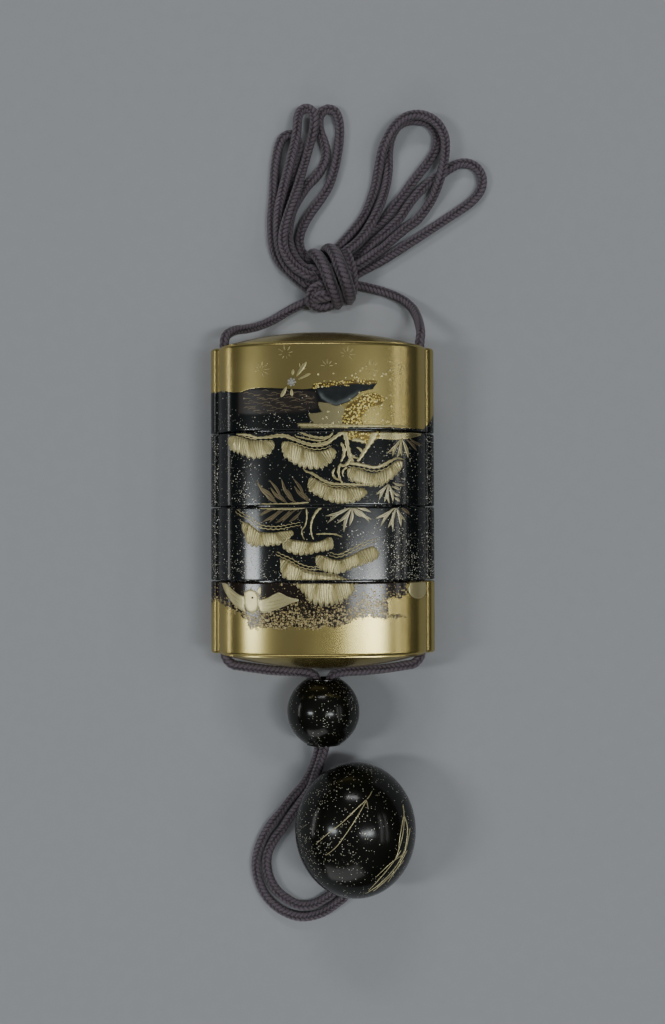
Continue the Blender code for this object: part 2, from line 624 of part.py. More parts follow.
def build_knot():
    """The knot's lumps, joined into one solid."""
    meshes = []
    for index, (centre, half_sizes) in enumerate(KNOT_LOBES):
        middle = Vector(centre) * MM
        sizes = [size * MM for size in half_sizes]
        meshes.append(ball_mesh(f"knot_lobe_{index}", middle, sizes, LOBE_STEPS, LOBE_RINGS,
                                lean=KNOT_LEAN))
    knot = new_object("knot", meshes[0], braided_silk("knot_silk"))
    for index, mesh in enumerate(meshes[1:]):
        cut(knot, new_object(f"knot_lump_{index}", mesh), "UNION")
    smooth(knot)


def main():
    clear_scene()
    build_case()
    build_bead()
    build_toggle()
    build_cords()
    build_knot()


main()
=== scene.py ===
import math

import bmesh
import bpy
import numpy as np
from mathutils import Matrix, Vector


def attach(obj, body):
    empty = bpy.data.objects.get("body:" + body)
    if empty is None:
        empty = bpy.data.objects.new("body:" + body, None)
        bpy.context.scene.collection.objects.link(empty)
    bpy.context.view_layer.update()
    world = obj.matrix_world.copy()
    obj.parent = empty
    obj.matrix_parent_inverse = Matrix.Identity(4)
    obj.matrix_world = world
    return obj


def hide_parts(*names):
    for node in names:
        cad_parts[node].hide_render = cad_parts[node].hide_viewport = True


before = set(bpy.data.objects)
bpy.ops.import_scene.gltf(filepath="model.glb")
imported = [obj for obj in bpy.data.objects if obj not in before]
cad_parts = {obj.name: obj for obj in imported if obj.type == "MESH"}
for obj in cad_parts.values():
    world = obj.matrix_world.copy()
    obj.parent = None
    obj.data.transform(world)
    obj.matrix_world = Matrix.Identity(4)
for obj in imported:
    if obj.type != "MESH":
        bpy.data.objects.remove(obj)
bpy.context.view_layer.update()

# Metres in a millimetre; all sizes and places below are millimetres in the frame's axes
MM = 0.001

# Camera, as solved from the photograph; its turns are radians and its clipping is metres
CAMERA_PLACE = (1.698, 18.995, 316.384)
CAMERA_PITCH = 0.0217
CAMERA_YAW = -0.0026
CAMERA_ROLL = -0.0036
CAMERA_LENS = 42.0
CAMERA_NEAR = 0.01
CAMERA_FAR = 10.0
SENSOR = 36.0

# Cords: the CAD's radius, the braid's, how much slimmer it is in the case, a loop's tail in the knot,
# and the height of a route on the table
SILK_RADIUS = 1.3
THREADED_LESS = 0.06
TAIL_IN_KNOT = 3.0
LYING_HEIGHT = 1.25

# The braid: its columns of yarn, the length and slant of a yarn, its depth, the height that lies at the
# cord's radius, the height left at a column's edge, and the pattern's slow sway
BRAID_COLUMNS = 4
BRAID_PERIOD = 1.15
BRAID_SLOPE = 0.62
BRAID_DEPTH = 0.26
BRAID_LEVEL = 0.8
BRAID_EDGE = 0.3
BRAID_SWAY = 0.25
BRAID_SWAY_LENGTH = 31.0
WRAP_TURN = 0.3
RING_STEP = 0.16
CORD_SIDES = 20
CURVE_STEPS = 40

# The case, the same sizes as the CAD
BODY_HALF_WIDTH = 26.6
BODY_HALF_DEPTH = 12.5
BODY_SQUARENESS = 2.4
BACK_FLAT = 0.2
RIB_RADIUS = 3.4
RIB_CENTRE = 25.0
EDGE_ROUNDING = 0.35
END_ROUNDING = 0.7
BASE_LENGTH = 21.8
TIER_LENGTH = 18.5
LID_LENGTH = 18.3
JOINT_GAP = 0.3
BASE_DOME = 4.2
LID_DOME = 4.0
DOME_SHOULDER = 0.3
NECK_LENGTH = 5.0
NECK_LIP = 0.15
FLOOR = 1.2
END_WALL = 1.8
SOCKET = (22.6, 11.5)
NECK = (22.3, 11.2)
HOLLOW = (21.4, 10.3)
SOCKET_LENGTH = 5.3
CHANNEL_RADIUS = 1.6
CHANNEL_CENTRE = 24.8
AXIS_HEIGHT = BODY_HALF_DEPTH - BACK_FLAT
BASE_END = 67.1
LID_END = BASE_END - BASE_LENGTH - 2 * TIER_LENGTH - LID_LENGTH

# Fineness of the case's mesh, and the angle in degrees above which an edge stays sharp
FRONT_POINTS = 340
BACK_POINTS = 70
RIB_POINTS = 22
CREASE_SAMPLES = 4001
FACE_SAMPLES = 2001
WALL_ROW = 0.17
ROUNDING_STEPS = 5
DOME_SHARES = (1.0, 0.985, 0.96, 0.92, 0.86, 0.78, 0.68, 0.56, 0.42, 0.28, 0.14, 0.05)
CHANNEL_SIDES = 32
CUT_PAST = 6.0
SHARP_ANGLE = 40.0

# The bead, and the fineness of its mesh
BEAD_RADIUS = 9.25
BEAD_HALF = 8.4
BEAD_POLE = 9.3
BEAD_HOLE = 2.95
BEAD_MOUTH = 1.4
BEAD_FLAT = 0.15
BEAD_CENTRE = -25.4
BEAD_SIDES = 96
BEAD_STEPS = 48
MOUTH_STEPS = 8
BEAD_SHARP_ANGLE = 50.0

# The netsuke, and the fineness of its mesh
TOGGLE_SIZES = (15.2, 16.8, 14.0)
TOGGLE_CENTRE = (8.0, -54.5, 13.8)
TOGGLE_HOLE_RADIUS = 3.1
TOGGLE_HOLE_DEPTH = 8.0
TOGGLE_HOLE_AIM = (-0.155, -0.8, -0.62)
TOGGLE_HOLE_RUN = (0.177, 0.798, 0.576)
VENT_RADIUS = 1.7
VENT_AIM = (0.08, 0.47, -1.0)
VENT_PAST = 4.0
NETSUKE_SIDES = 200
NETSUKE_ROWS = 110
POLE_SLANT = 0.004
HOLE_SIDES = 48

# The numbers that meshes give to their materials, one for each point
BRAID_VALUES = ("braid", "along", "around")
GROUND_VALUES = ("gold", "flakes", "bright", "cloud", "cloud_edge", "bank", "dots", "brown", "lid_side")
RELIEF_VALUES = ("tone", "needle", "reach", "shade")

# The floor: half its length, and how far it lies under the part
STAGE_REACH = 3000.0
STAGE_DROP = 0.02

# The cords' routes, the same points as the CAD; a point without a height lies on the table
ROUTES = {
    "cord_left": (
        (8.2, -61.3, 7.9), (7.7, -63.9, 5.9), (7.1, -66.7, 4), (5.7, -74.2, 2), (3.5, -76.4, 1.4),
        (-0.9, -79.2), (-6.2, -80.1), (-11.7, -78), (-15.8, -73.6), (-17.8, -67.4), (-17.2, -62.6),
        (-14.5, -56.9), (-11.4, -53.1), (-8.2, -49, 1.5), (-5.2, -45.4, 2.4), (-3.1, -41.4, 4),
        (-1.8, -37.7, 6), (-1.2, -34.4, 7.8), (-0.9, -29.9, 8.2), (-1.15, -25.4, 8.5),
        (-1.35, -21.2, 9.1), (-1.5, -18.4, 9.15), (-2.5, -16.1, 9.35), (-5.2, -15.3, 9.8),
        (-9, -15, 10.4), (-13, -14.7, 11), (-17, -14.1, 11.6), (-20.4, -13.5, 12.1), (-23.1, -12.9, 12.3),
        (-24.7, -11, 12.3), (-24.8, -6, 12.3), (-24.8, 42, 12.3), (-24.8, 65.1, 12.3),
        (-24.9, 69.3, 12.3), (-24.4, 71, 11.4), (-22.6, 72.5, 9.4), (-19.6, 73.5, 6.3),
        (-16.6, 74.7, 3.6), (-13.2, 76.5, 1.8), (-8, 79.6, 1.35), (-3.6, 81.7, 2.4),
    ),
    "cord_right": (
        (5.5, -61.7, 7.9), (5, -64.3, 5.9), (4.2, -67.1, 4), (3.2, -70.3, 2.5), (2.2, -73.7, 1.7),
        (-0.2, -75.6, 1.3), (-2.9, -76.9), (-6.2, -77.2), (-9.6, -75.6), (-12.5, -73.1), (-14.6, -69),
        (-14.8, -64), (-12.8, -59.7), (-10.7, -56.9, 1.6), (-8.9, -54, 2.4), (-6.9, -51.2, 3.2),
        (-4.8, -48.2, 4.2), (-3, -45.2, 5.3), (-1.6, -40.9, 7.6), (-0.3, -36.7, 9.6), (0.4, -34, 10.4),
        (0.9, -29.9, 10), (1.15, -25.4, 9.7), (1.35, -21.2, 9.1), (1.5, -18.4, 9.15), (2.5, -16.1, 9.35),
        (5.2, -15.3, 9.8), (9, -15, 10.4), (15, -14.4, 11.3), (20.4, -13.5, 12.1), (23.1, -12.9, 12.3),
        (24.7, -11, 12.3), (24.8, -6, 12.3), (24.8, 42, 12.3), (24.8, 65.1, 12.3), (25, 69.3, 12.3),
        (25.3, 71.2, 11.5), (25.2, 73.6, 9.3), (24.7, 76.6, 6.2), (23.5, 79.5, 3.5), (20.8, 82.1, 1.6),
        (16, 84.2), (11.5, 85.3, 1.8), (7.5, 86, 2.6),
    ),
    "bow_left_a": (
        (-3.3, 84.6, 1.6), (-4.5, 85.6, 1.4), (-6, 87), (-8.2, 89.1), (-10.5, 91.4), (-12.1, 94),
        (-13, 97.1), (-13.3, 100.4), (-13.3, 103.9), (-13, 107.4), (-12.7, 110.8), (-12.5, 114.6),
        (-12.2, 118), (-11.7, 121.1), (-11.1, 123.5), (-10.1, 125.3), (-8.4, 126.1), (-6.8, 125.3),
        (-6.1, 123.6), (-6.3, 121.8), (-7.1, 119.9), (-7.9, 116.7), (-8.7, 113.2), (-9.5, 109.7),
        (-10.1, 106.3), (-10.3, 102.8), (-10.3, 99.3), (-9.8, 96.2), (-8.7, 93.6), (-7, 91.2),
        (-5.5, 89.6), (-4, 88.2, 1.4),
    ),
    "bow_left_b": (
        (-4, 86, 4.1), (-6.1, 87.6, 4.05), (-8.5, 89.8, 3.95), (-10.2, 92.5, 3.75), (-11.2, 95.6, 3.6),
        (-11.6, 99, 3.55), (-11.6, 102.5, 3.55), (-11.3, 105.9, 3.65), (-10.6, 109.3, 3.7),
        (-9.7, 112.7, 3.8), (-8.7, 116.1, 3.9), (-7.8, 119.6, 3.95), (-7, 123, 3.95), (-6.5, 125.8, 3.95),
        (-6.4, 128, 3.6), (-6.2, 130.1, 3.2), (-5.5, 131.8, 2.9), (-4, 132.5, 3), (-2.5, 131.7, 3.3),
        (-1.9, 130, 3.6), (-1.9, 128, 3.7), (-2.3, 125.9, 3.1), (-3.1, 123.4, 1.9), (-4.1, 120.1, 1.4),
        (-5.1, 116.4, 2), (-6, 112.6, 3.5), (-7, 108.7, 5), (-8.2, 105, 5.9), (-9.3, 101.5, 6.15),
        (-10.1, 98.1, 6.1), (-10, 94.8, 6.15), (-8.9, 92, 6.25), (-7.1, 89.7, 6.5), (-4.8, 88, 6.8),
        (-3.5, 87.3, 6.8),
    ),
    "bow_left_c": (
        (-2.9, 89, 4.2), (-4.8, 90.1, 3.9), (-6.8, 92.2, 3.75), (-8.1, 94.8, 3.65), (-8.8, 97.8, 3.55),
        (-8.6, 101.1, 3.5), (-8, 104.4, 2.9), (-6.8, 107.5, 2), (-5.3, 110.2, 1.4), (-3.6, 112.6),
        (-1.7, 114.6), (-0.1, 116.8), (1, 119.2), (1.2, 121.7), (0.6, 124.3), (-0.3, 126.7), (-0.7, 129),
        (-0.5, 131), (0.5, 132.4), (2, 132.9), (3.6, 132.2), (4.5, 130.2), (4.8, 127.3), (4.6, 124.3),
        (4.2, 121.1, 1.4), (3.6, 118.1, 1.4), (2.8, 115), (1.8, 112.3), (0.3, 109.7), (-1.4, 107.3),
        (-3.1, 105), (-4.5, 102.6), (-5.6, 100), (-6, 97.2), (-5.3, 94.5), (-3.8, 92.4, 1.3),
        (-2.1, 91.1, 1.5),
    ),
    "bow_right_a": (
        (3.1, 94.5, 2), (4.9, 96.4, 1.5), (7.2, 99), (9.5, 101.7), (11.5, 104.7), (12.9, 108.1),
        (14, 111.5), (14.7, 114.8, 1.5), (15.3, 117.9, 2.4), (15.9, 120.6, 3.4), (17, 123.4, 3.95),
        (18.5, 126.1, 4), (20.3, 128.3, 4), (22.6, 129.9, 3.95), (25.3, 130.4, 3.95), (27.8, 129.9, 3.95),
        (30, 128.6, 3.95), (31.6, 126.6, 3.95), (32.5, 124.1, 3.95), (32.6, 121.4, 3.95),
        (32.3, 118.5, 3.95), (31.7, 115.6, 3.95), (31, 113.1, 3.6), (30.1, 110.7, 2.3),
        (28.8, 108.1, 1.3), (27.1, 105.5), (24.9, 102.9), (22.5, 101.2), (20.2, 99.3, 1.3),
        (18.2, 97.5, 1.5), (16.2, 95.6, 2), (13.9, 93.9, 3.05), (11.7, 92.2, 3.9), (8.6, 90.2, 4.6),
    ),
    "bow_right_b": (
        (5.6, 93.5, 4.5), (8.3, 95.7, 4.1), (10.6, 98, 3.9), (12.4, 100.7, 3.85), (14, 103.6, 3.8),
        (15.4, 106.9, 3), (16.5, 110.4, 1.8), (17.3, 113.9), (17.7, 117.4), (17.7, 120.7), (18.1, 123.8),
        (19, 126.6), (20.7, 128.7), (23.1, 129.8), (25.7, 129.9), (28.3, 129.2), (30.1, 127.4),
        (30.9, 125), (30.5, 122.4), (29.2, 119.9), (27.4, 117.5), (25.5, 115.1), (23.6, 112.6),
        (21.8, 110.1), (19.9, 107.6), (18.2, 105.3), (16.5, 103.4), (14.6, 101.7), (12.6, 99.9),
        (10.6, 98.1), (8.7, 96.3, 1.3), (6.9, 94.6, 1.4), (5.4, 93.1, 1.6),
    ),
    "bow_right_c": (
        (7.7, 91.5, 1.5), (9.1, 92.9, 1.3), (10.7, 94.3), (12.5, 96.1), (14.4, 97.9), (16.5, 99.6),
        (18.5, 101.5), (20.6, 103.7), (22.6, 106.7), (24.5, 109.2), (26.7, 111.5), (29.1, 113.5),
        (31.7, 115.4), (34.1, 117), (36.6, 118.2), (39.1, 118.2), (41.2, 117), (42.5, 114.8),
        (42.5, 112.3), (41.3, 109.8), (39.1, 107.6), (36.3, 105.6), (33.1, 103.5), (29.7, 101.3),
        (26.4, 99.1), (23.1, 97), (19.7, 94.8), (16.3, 92.7), (13.4, 91.1, 1.3), (10.7, 89.7, 1.5),
        (8.6, 88.4, 1.9),
    ),
}

# The knot: its middle, and its wraps, each with the points along it, its radius and its width to height
KNOT_HEART = (2.6, 88.0, 3.6)
KNOT_WRAPS = (
    (((-2.6, 91.8, 1.6), (-2.6, 92.7, 3.4), (-1.8, 93.2, 5.6), (-0.5, 91.4, 7.8), (1.1, 88.2, 9.0),
      (2.1, 85.4, 8.8), (3.1, 83.1, 7.4), (3.9, 81.5, 5.2), (4.2, 80.6, 2.8)), 1.45, 1.3),
    (((1.3, 93.4, 1.6), (1.3, 94.5, 3.6), (2.4, 94.4, 6.0), (3.7, 92.0, 8.4), (4.9, 88.7, 9.3),
      (6.0, 85.9, 9.0), (6.8, 83.9, 7.4), (7.3, 82.5, 5.0), (7.4, 82.0, 2.6)), 1.45, 1.3),
    (((4.8, 94.0, 2.4), (6.1, 93.4, 4.6), (7.1, 90.9, 6.4), (7.8, 87.9, 6.8), (8.1, 85.3, 5.8),
      (7.9, 83.6, 3.6)), 1.35, 1.1),
    (((3.1, 82.0, 2.6), (2.3, 83.9, 5.0), (0.5, 84.6, 6.6), (-1.8, 84.1, 6.6), (-2.9, 82.4, 5.8),
      (-2.6, 80.5, 4.8), (-0.8, 79.6, 4.2), (1.5, 79.9, 4.0), (3.1, 81.1, 3.0)), 1.3, 1.1),
    (((-3.5, 81.5, 2.6), (-2.4, 81.5, 5.0), (-0.8, 81.7, 6.6), (1.0, 82.0, 6.6), (2.3, 83.0, 5.4),
      (3.1, 84.1, 4.0)), 1.4, 1.15),
    (((-4.8, 89.2, 2.4), (-3.4, 89.3, 4.4), (-1.8, 88.7, 5.8), (-0.2, 87.3, 6.2), (1.0, 85.6, 5.6)),
     1.4, 1.1),
)


def linked(name, mesh, material=None):
    item = bpy.data.objects.new(name, mesh)
    bpy.context.scene.collection.objects.link(item)
    if material:
        mesh.materials.append(material)
    return item


def make_mesh(name, points, faces):
    """A mesh from points in millimetres and a list of faces."""
    mesh = bpy.data.meshes.new(name)
    mesh.from_pydata([tuple(p) for p in np.asarray(points) * MM], [], faces)
    mesh.update()
    return mesh


def ring_stack(name, rings, caps=True):
    """Skin an array of rings (rings, points, 3); the end rings are capped."""
    rings = np.asarray(rings, dtype=float)
    count, around = rings.shape[:2]
    mesh = bpy.data.meshes.new(name)
    points = (rings.reshape(-1, 3) * MM).astype(np.float32)
    index = np.arange(count * around).reshape(count, around)
    turned = np.roll(index, -1, axis=1)
    quads = np.stack([index[:-1], turned[:-1], turned[1:], index[1:]], axis=-1).reshape(-1, 4)
    loops = [quads.ravel()]
    totals = np.full(len(quads), 4)
    if caps:
        loops += [index[0][::-1], index[-1]]
        totals = np.concatenate([totals, [around, around]])
    loops = np.concatenate(loops)
    mesh.vertices.add(len(points))
    mesh.vertices.foreach_set("co", points.ravel())
    mesh.loops.add(len(loops))
    mesh.loops.foreach_set("vertex_index", loops.astype(np.int32))
    mesh.polygons.add(len(totals))
    starts = np.concatenate([[0], np.cumsum(totals)[:-1]]).astype(np.int32)
    mesh.polygons.foreach_set("loop_start", starts)
    mesh.polygons.foreach_set("loop_total", totals.astype(np.int32))
    mesh.update(calc_edges=True)
    mesh.validate()
    return mesh


def outward(mesh):
    """Turn every face outward."""
    shape = bmesh.new()
    shape.from_mesh(mesh)
    bmesh.ops.recalc_face_normals(shape, faces=shape.faces)
    shape.to_mesh(mesh)
    shape.free()
    return mesh


def put_values(mesh, name, values):
    """One number for each point of a mesh."""
    layer = mesh.attributes.new(name, "FLOAT", "POINT")
    layer.data.foreach_set("value", np.asarray(values, dtype=np.float32).ravel())


def step_lengths(points):
    """The length of each step along a line of points."""
    return np.linalg.norm(np.diff(np.asarray(points), axis=0), axis=1)


def full_turn(count):
    """Even turns right round a circle."""
    return np.arange(count) * 2 * math.pi / count


# Camera
def set_camera():
    data = bpy.data.cameras.new("camera")
    data.lens = CAMERA_LENS
    data.sensor_fit = "VERTICAL"
    data.sensor_height = SENSOR
    data.sensor_width = SENSOR
    data.clip_start = CAMERA_NEAR
    data.clip_end = CAMERA_FAR
    camera = bpy.data.objects.new("camera", data)
    bpy.context.scene.collection.objects.link(camera)
    turn = (Matrix.Rotation(CAMERA_ROLL, 4, "Z") @ Matrix.Rotation(CAMERA_YAW, 4, "Y")
            @ Matrix.Rotation(CAMERA_PITCH, 4, "X"))
    camera.matrix_world = Matrix.Translation(Vector(CAMERA_PLACE) * MM) @ turn
    bpy.context.scene.camera = camera


set_camera()


# Cords
def smooth_line(points, step):
    """A smooth curve through the points in even steps, and the place of each step along it."""
    given = np.asarray(points, dtype=float)
    given = np.vstack([2 * given[0] - given[1], given, 2 * given[-1] - given[-2]])
    pieces = []
    for p0, p1, p2, p3 in zip(given, given[1:], given[2:], given[3:]):
        t1 = math.sqrt(np.linalg.norm(p1 - p0))
        t2 = t1 + math.sqrt(np.linalg.norm(p2 - p1))
        t3 = t2 + math.sqrt(np.linalg.norm(p3 - p2))
        t = np.linspace(t1, t2, CURVE_STEPS, endpoint=False)[:, None]
        a1 = p0 * (t1 - t) / t1 + p1 * t / t1
        a2 = p1 * (t2 - t) / (t2 - t1) + p2 * (t - t1) / (t2 - t1)
        a3 = p2 * (t3 - t) / (t3 - t2) + p3 * (t - t2) / (t3 - t2)
        b1 = a1 * (t2 - t) / t2 + a2 * t / t2
        b2 = a2 * (t3 - t) / (t3 - t1) + a3 * (t - t1) / (t3 - t1)
        pieces.append(b1 * (t2 - t) / (t2 - t1) + b2 * (t - t1) / (t2 - t1))
    line = np.vstack(pieces + [given[-2][None]])
    along = np.concatenate([[0], np.cumsum(step_lengths(line))])
    count = max(2, int(round(along[-1] / step)) + 1)
    places = np.linspace(0, along[-1], count)
    return np.stack([np.interp(places, along, line[:, axis]) for axis in range(3)], axis=1), places


def carried_frames(line):
    """Two directions across the line at each point, carried along it without twisting."""
    tangents = np.gradient(line, axis=0)
    tangents /= np.linalg.norm(tangents, axis=1)[:, None]
    side = np.array([0.0, 0.0, 1.0])
    sides = []
    for tangent in tangents:
        side = side - tangent * np.dot(side, tangent)
        side = side / np.linalg.norm(side)
        sides.append(side)
    sides = np.asarray(sides)
    return sides, np.cross(tangents, sides)


def braid_height(along, turn):
    """Height of the braid's surface, 0 in its grooves to 1 on its yarns."""
    column = turn / (2 * math.pi) * BRAID_COLUMNS
    number = np.floor(column)
    across = column - number - 0.5
    slant = np.where(number % 2 < 0.5, 1.0, -1.0)
    phase = along / BRAID_PERIOD + slant * across * BRAID_SLOPE * 2 + 0.5 * (number % 2)
    place = phase - np.floor(phase)
    yarn = np.sqrt(np.clip(1 - (2 * place - 1) ** 2, 0, 1))
    edge = np.clip(np.cos(math.pi * across), 0, 1) ** 0.6
    return yarn * (BRAID_EDGE + (1 - BRAID_EDGE) * edge)


def braided_tube(name, points, radius, wide=1.0, start_turn=0.0):
    """A mesh of a round braid along a route; returns the mesh and its centre line."""
    line, along = smooth_line(points, RING_STEP)
    sides, others = carried_frames(line)
    turn = full_turn(CORD_SIDES)
    sway = BRAID_SWAY * np.sin(2 * math.pi * along / BRAID_SWAY_LENGTH + start_turn)
    pattern_turn = (turn[None, :] + start_turn + sway[:, None]) % (2 * math.pi)
    height = braid_height(along[:, None], pattern_turn)
    reach = radius + BRAID_DEPTH * (height - BRAID_LEVEL)
    ring_cos = (np.cos(turn)[None, :] * reach)[:, :, None]
    ring_sin = (np.sin(turn)[None, :] * reach * wide)[:, :, None]
    rings = line[:, None, :] + ring_cos * sides[:, None, :] + ring_sin * others[:, None, :]
    mesh = ring_stack(name, rings)
    for key, values in zip(BRAID_VALUES, (height, along[:, None], turn[None, :])):
        put_values(mesh, key, np.broadcast_to(values, height.shape))
    mesh.shade_smooth()
    return mesh, line


def into_knot(points, start, end):
    """The route with its ends carried on into the knot."""
    points = [np.asarray(point, dtype=float) for point in points]
    heart = np.asarray(KNOT_HEART, dtype=float)
    if start:
        points.insert(0, points[0] + TAIL_IN_KNOT * (heart - points[0]) / np.linalg.norm(heart - points[0]))
    if end:
        points.append(points[-1] + TAIL_IN_KNOT * (heart - points[-1]) / np.linalg.norm(heart - points[-1]))
    return points


def build_cords(material):
    made = {}
    for name, route in ROUTES.items():
        points = [(*point, LYING_HEIGHT)[:3] for point in route]
        loop = name.startswith("bow")
        mesh, line = braided_tube(f"{name}_braid", into_knot(points, loop, True),
                                  radius=SILK_RADIUS if loop else SILK_RADIUS - THREADED_LESS)
        piece = linked(f"{name}_braid", mesh, material)
        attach(piece, "root")
        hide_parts(name)
        length = float(step_lengths(line).sum()) * MM
        made[name] = (piece, line, length)
    return made


def build_knot(material):
    """The cord's own wraps that make the knot, as one piece."""
    meshes = []
    for index, (points, radius, wide) in enumerate(KNOT_WRAPS):
        mesh, _ = braided_tube(f"wrap_{index}", points, radius, wide, WRAP_TURN * index)
        meshes.append(linked(f"wrap_{index}", mesh, material))
    for item in list(bpy.context.selected_objects):
        item.select_set(False)
    bpy.context.view_layer.objects.active = meshes[0]
    for item in meshes:
        item.select_set(True)
    bpy.ops.object.join()
    knot = meshes[0]
    knot.name = "knot_wraps"
    knot.select_set(False)
    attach(knot, "root")
    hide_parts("knot")
    return knot


# Materials
class Nodes:
    """Short words for building a node tree."""

    def __init__(self, name):
        self.material = bpy.data.materials.new(name)
        self.material.use_nodes = True
        self.tree = self.material.node_tree
        self.shader = self.tree.nodes["Principled BSDF"]

    def put(self, target, value):
        if isinstance(value, bpy.types.NodeSocket):
            self.tree.links.new(value, target)
        elif isinstance(value, tuple):
            target.default_value = (*value, 1.0)
        else:
            target.default_value = value

    def node(self, kind, inputs=None, **settings):
        made = self.tree.nodes.new(kind)
        for key, value in settings.items():
            setattr(made, key, value)
        for key, value in (inputs or {}).items():
            self.put(made.inputs[key], value)
        return made

    def math(self, operation, *values):
        made = self.node("ShaderNodeMath", dict(enumerate(values)), operation=operation)
        return made.outputs[0]

    def times(self, first, *others):
        for other in others:
            first = self.math("MULTIPLY", first, other)
        return first

    def most(self, first, *others):
        for other in others:
            first = self.math("MAXIMUM", first, other)
        return first

    def plus(self, first, second):
        return self.math("ADD", first, second)

    def less(self, first, second):
        return self.math("SUBTRACT", first, second)

    def value(self, name):
        return self.node("ShaderNodeAttribute", attribute_name=name).outputs["Fac"]

    def place(self):
        return self.node("ShaderNodeTexCoord").outputs["Object"]

    def noise(self, scale, detail=4.0, roughness=0.5, vector=None):
        return self.node("ShaderNodeTexNoise", {
            "Vector": vector or self.place(), "Scale": scale, "Detail": detail, "Roughness": roughness
        }).outputs["Fac"]

    def specks(self, scale, share, size):
        """Small dots in a share of the cells of a pattern, and a random number for each dot."""
        cell = self.node("ShaderNodeTexVoronoi", {"Vector": self.place(), "Scale": scale})
        pick = self.node("ShaderNodeSeparateColor", {"Color": cell.outputs["Color"]})
        inside = self.fade(cell.outputs["Distance"], size, size * 0.72)
        return self.times(self.math("LESS_THAN", pick.outputs[0], share), inside), pick.outputs[1]

    def fade(self, value, low, high, to_low=0.0, to_high=1.0):
        return self.node("ShaderNodeMapRange", {
            "Value": value, "From Min": low, "From Max": high, "To Min": to_low, "To Max": to_high},
            interpolation_type="SMOOTHSTEP").outputs["Result"]

    def mix(self, share, first, second):
        inputs = {"Factor": share, 6: first, 7: second}
        return self.node("ShaderNodeMix", inputs, data_type="RGBA").outputs[2]

    def layers(self, colour, *coats):
        """A colour with coats laid over it in turn, each a share and a colour."""
        for share, coat in coats:
            colour = self.mix(share, colour, coat)
        return colour

    def blend(self, share, first, second):
        inputs = {"Factor": share, 2: first, 3: second}
        return self.node("ShaderNodeMix", inputs, data_type="FLOAT").outputs[0]

    def bump(self, height, strength, distance):
        return self.node("ShaderNodeBump", {"Height": height, "Strength": strength, "Distance": distance}
                         ).outputs["Normal"]

    def finish(self, colour, roughness, **others):
        self.put(self.shader.inputs["Base Color"], colour)
        self.put(self.shader.inputs["Roughness"], roughness)
        for key, value in others.items():
            self.put(self.shader.inputs[key.replace("_", " ")], value)
        return self.material


def silk_material():
    """Dark purple silk: yarns lighter than the grooves, which carry painted shade, painted highlight streaks
    on the yarns, and worn paler in places.
    """
    n = Nodes("silk_braid")
    braid, along, around = (n.value(name) for name in BRAID_VALUES)
    fibre_place = n.node("ShaderNodeCombineXYZ", {"X": n.times(along, 3.0), "Y": n.times(around, 9.0)})
    fibre_and_highlight = n.noise(4.0, detail=3.0, vector=fibre_place.outputs[0])
    wear = n.noise(900.0, detail=3.0)
    patch = n.noise(90.0, detail=2.0)
    yarn = n.mix(patch, (0.066, 0.044, 0.060), (0.104, 0.074, 0.095))
    # Painted highlight: pale streaks along the yarns where the fibre pattern is high; the same pattern also
    # gives the yarns their bumps
    yarn = n.mix(n.fade(fibre_and_highlight, 0.42, 0.70), yarn, (0.34, 0.295, 0.335))
    # Painted shade: the grooves between the yarns, where the braid's height is low, go near black
    colour = n.mix(n.fade(braid, 0.30, 0.85), (0.012, 0.006, 0.011), yarn)
    colour = n.mix(n.fade(wear, 0.62, 0.80, 0.0, 0.35), colour, (0.34, 0.28, 0.29))
    return n.finish(colour, 0.72, Normal=n.bump(fibre_and_highlight, 0.5, 0.00012), Sheen_Weight=0.25)


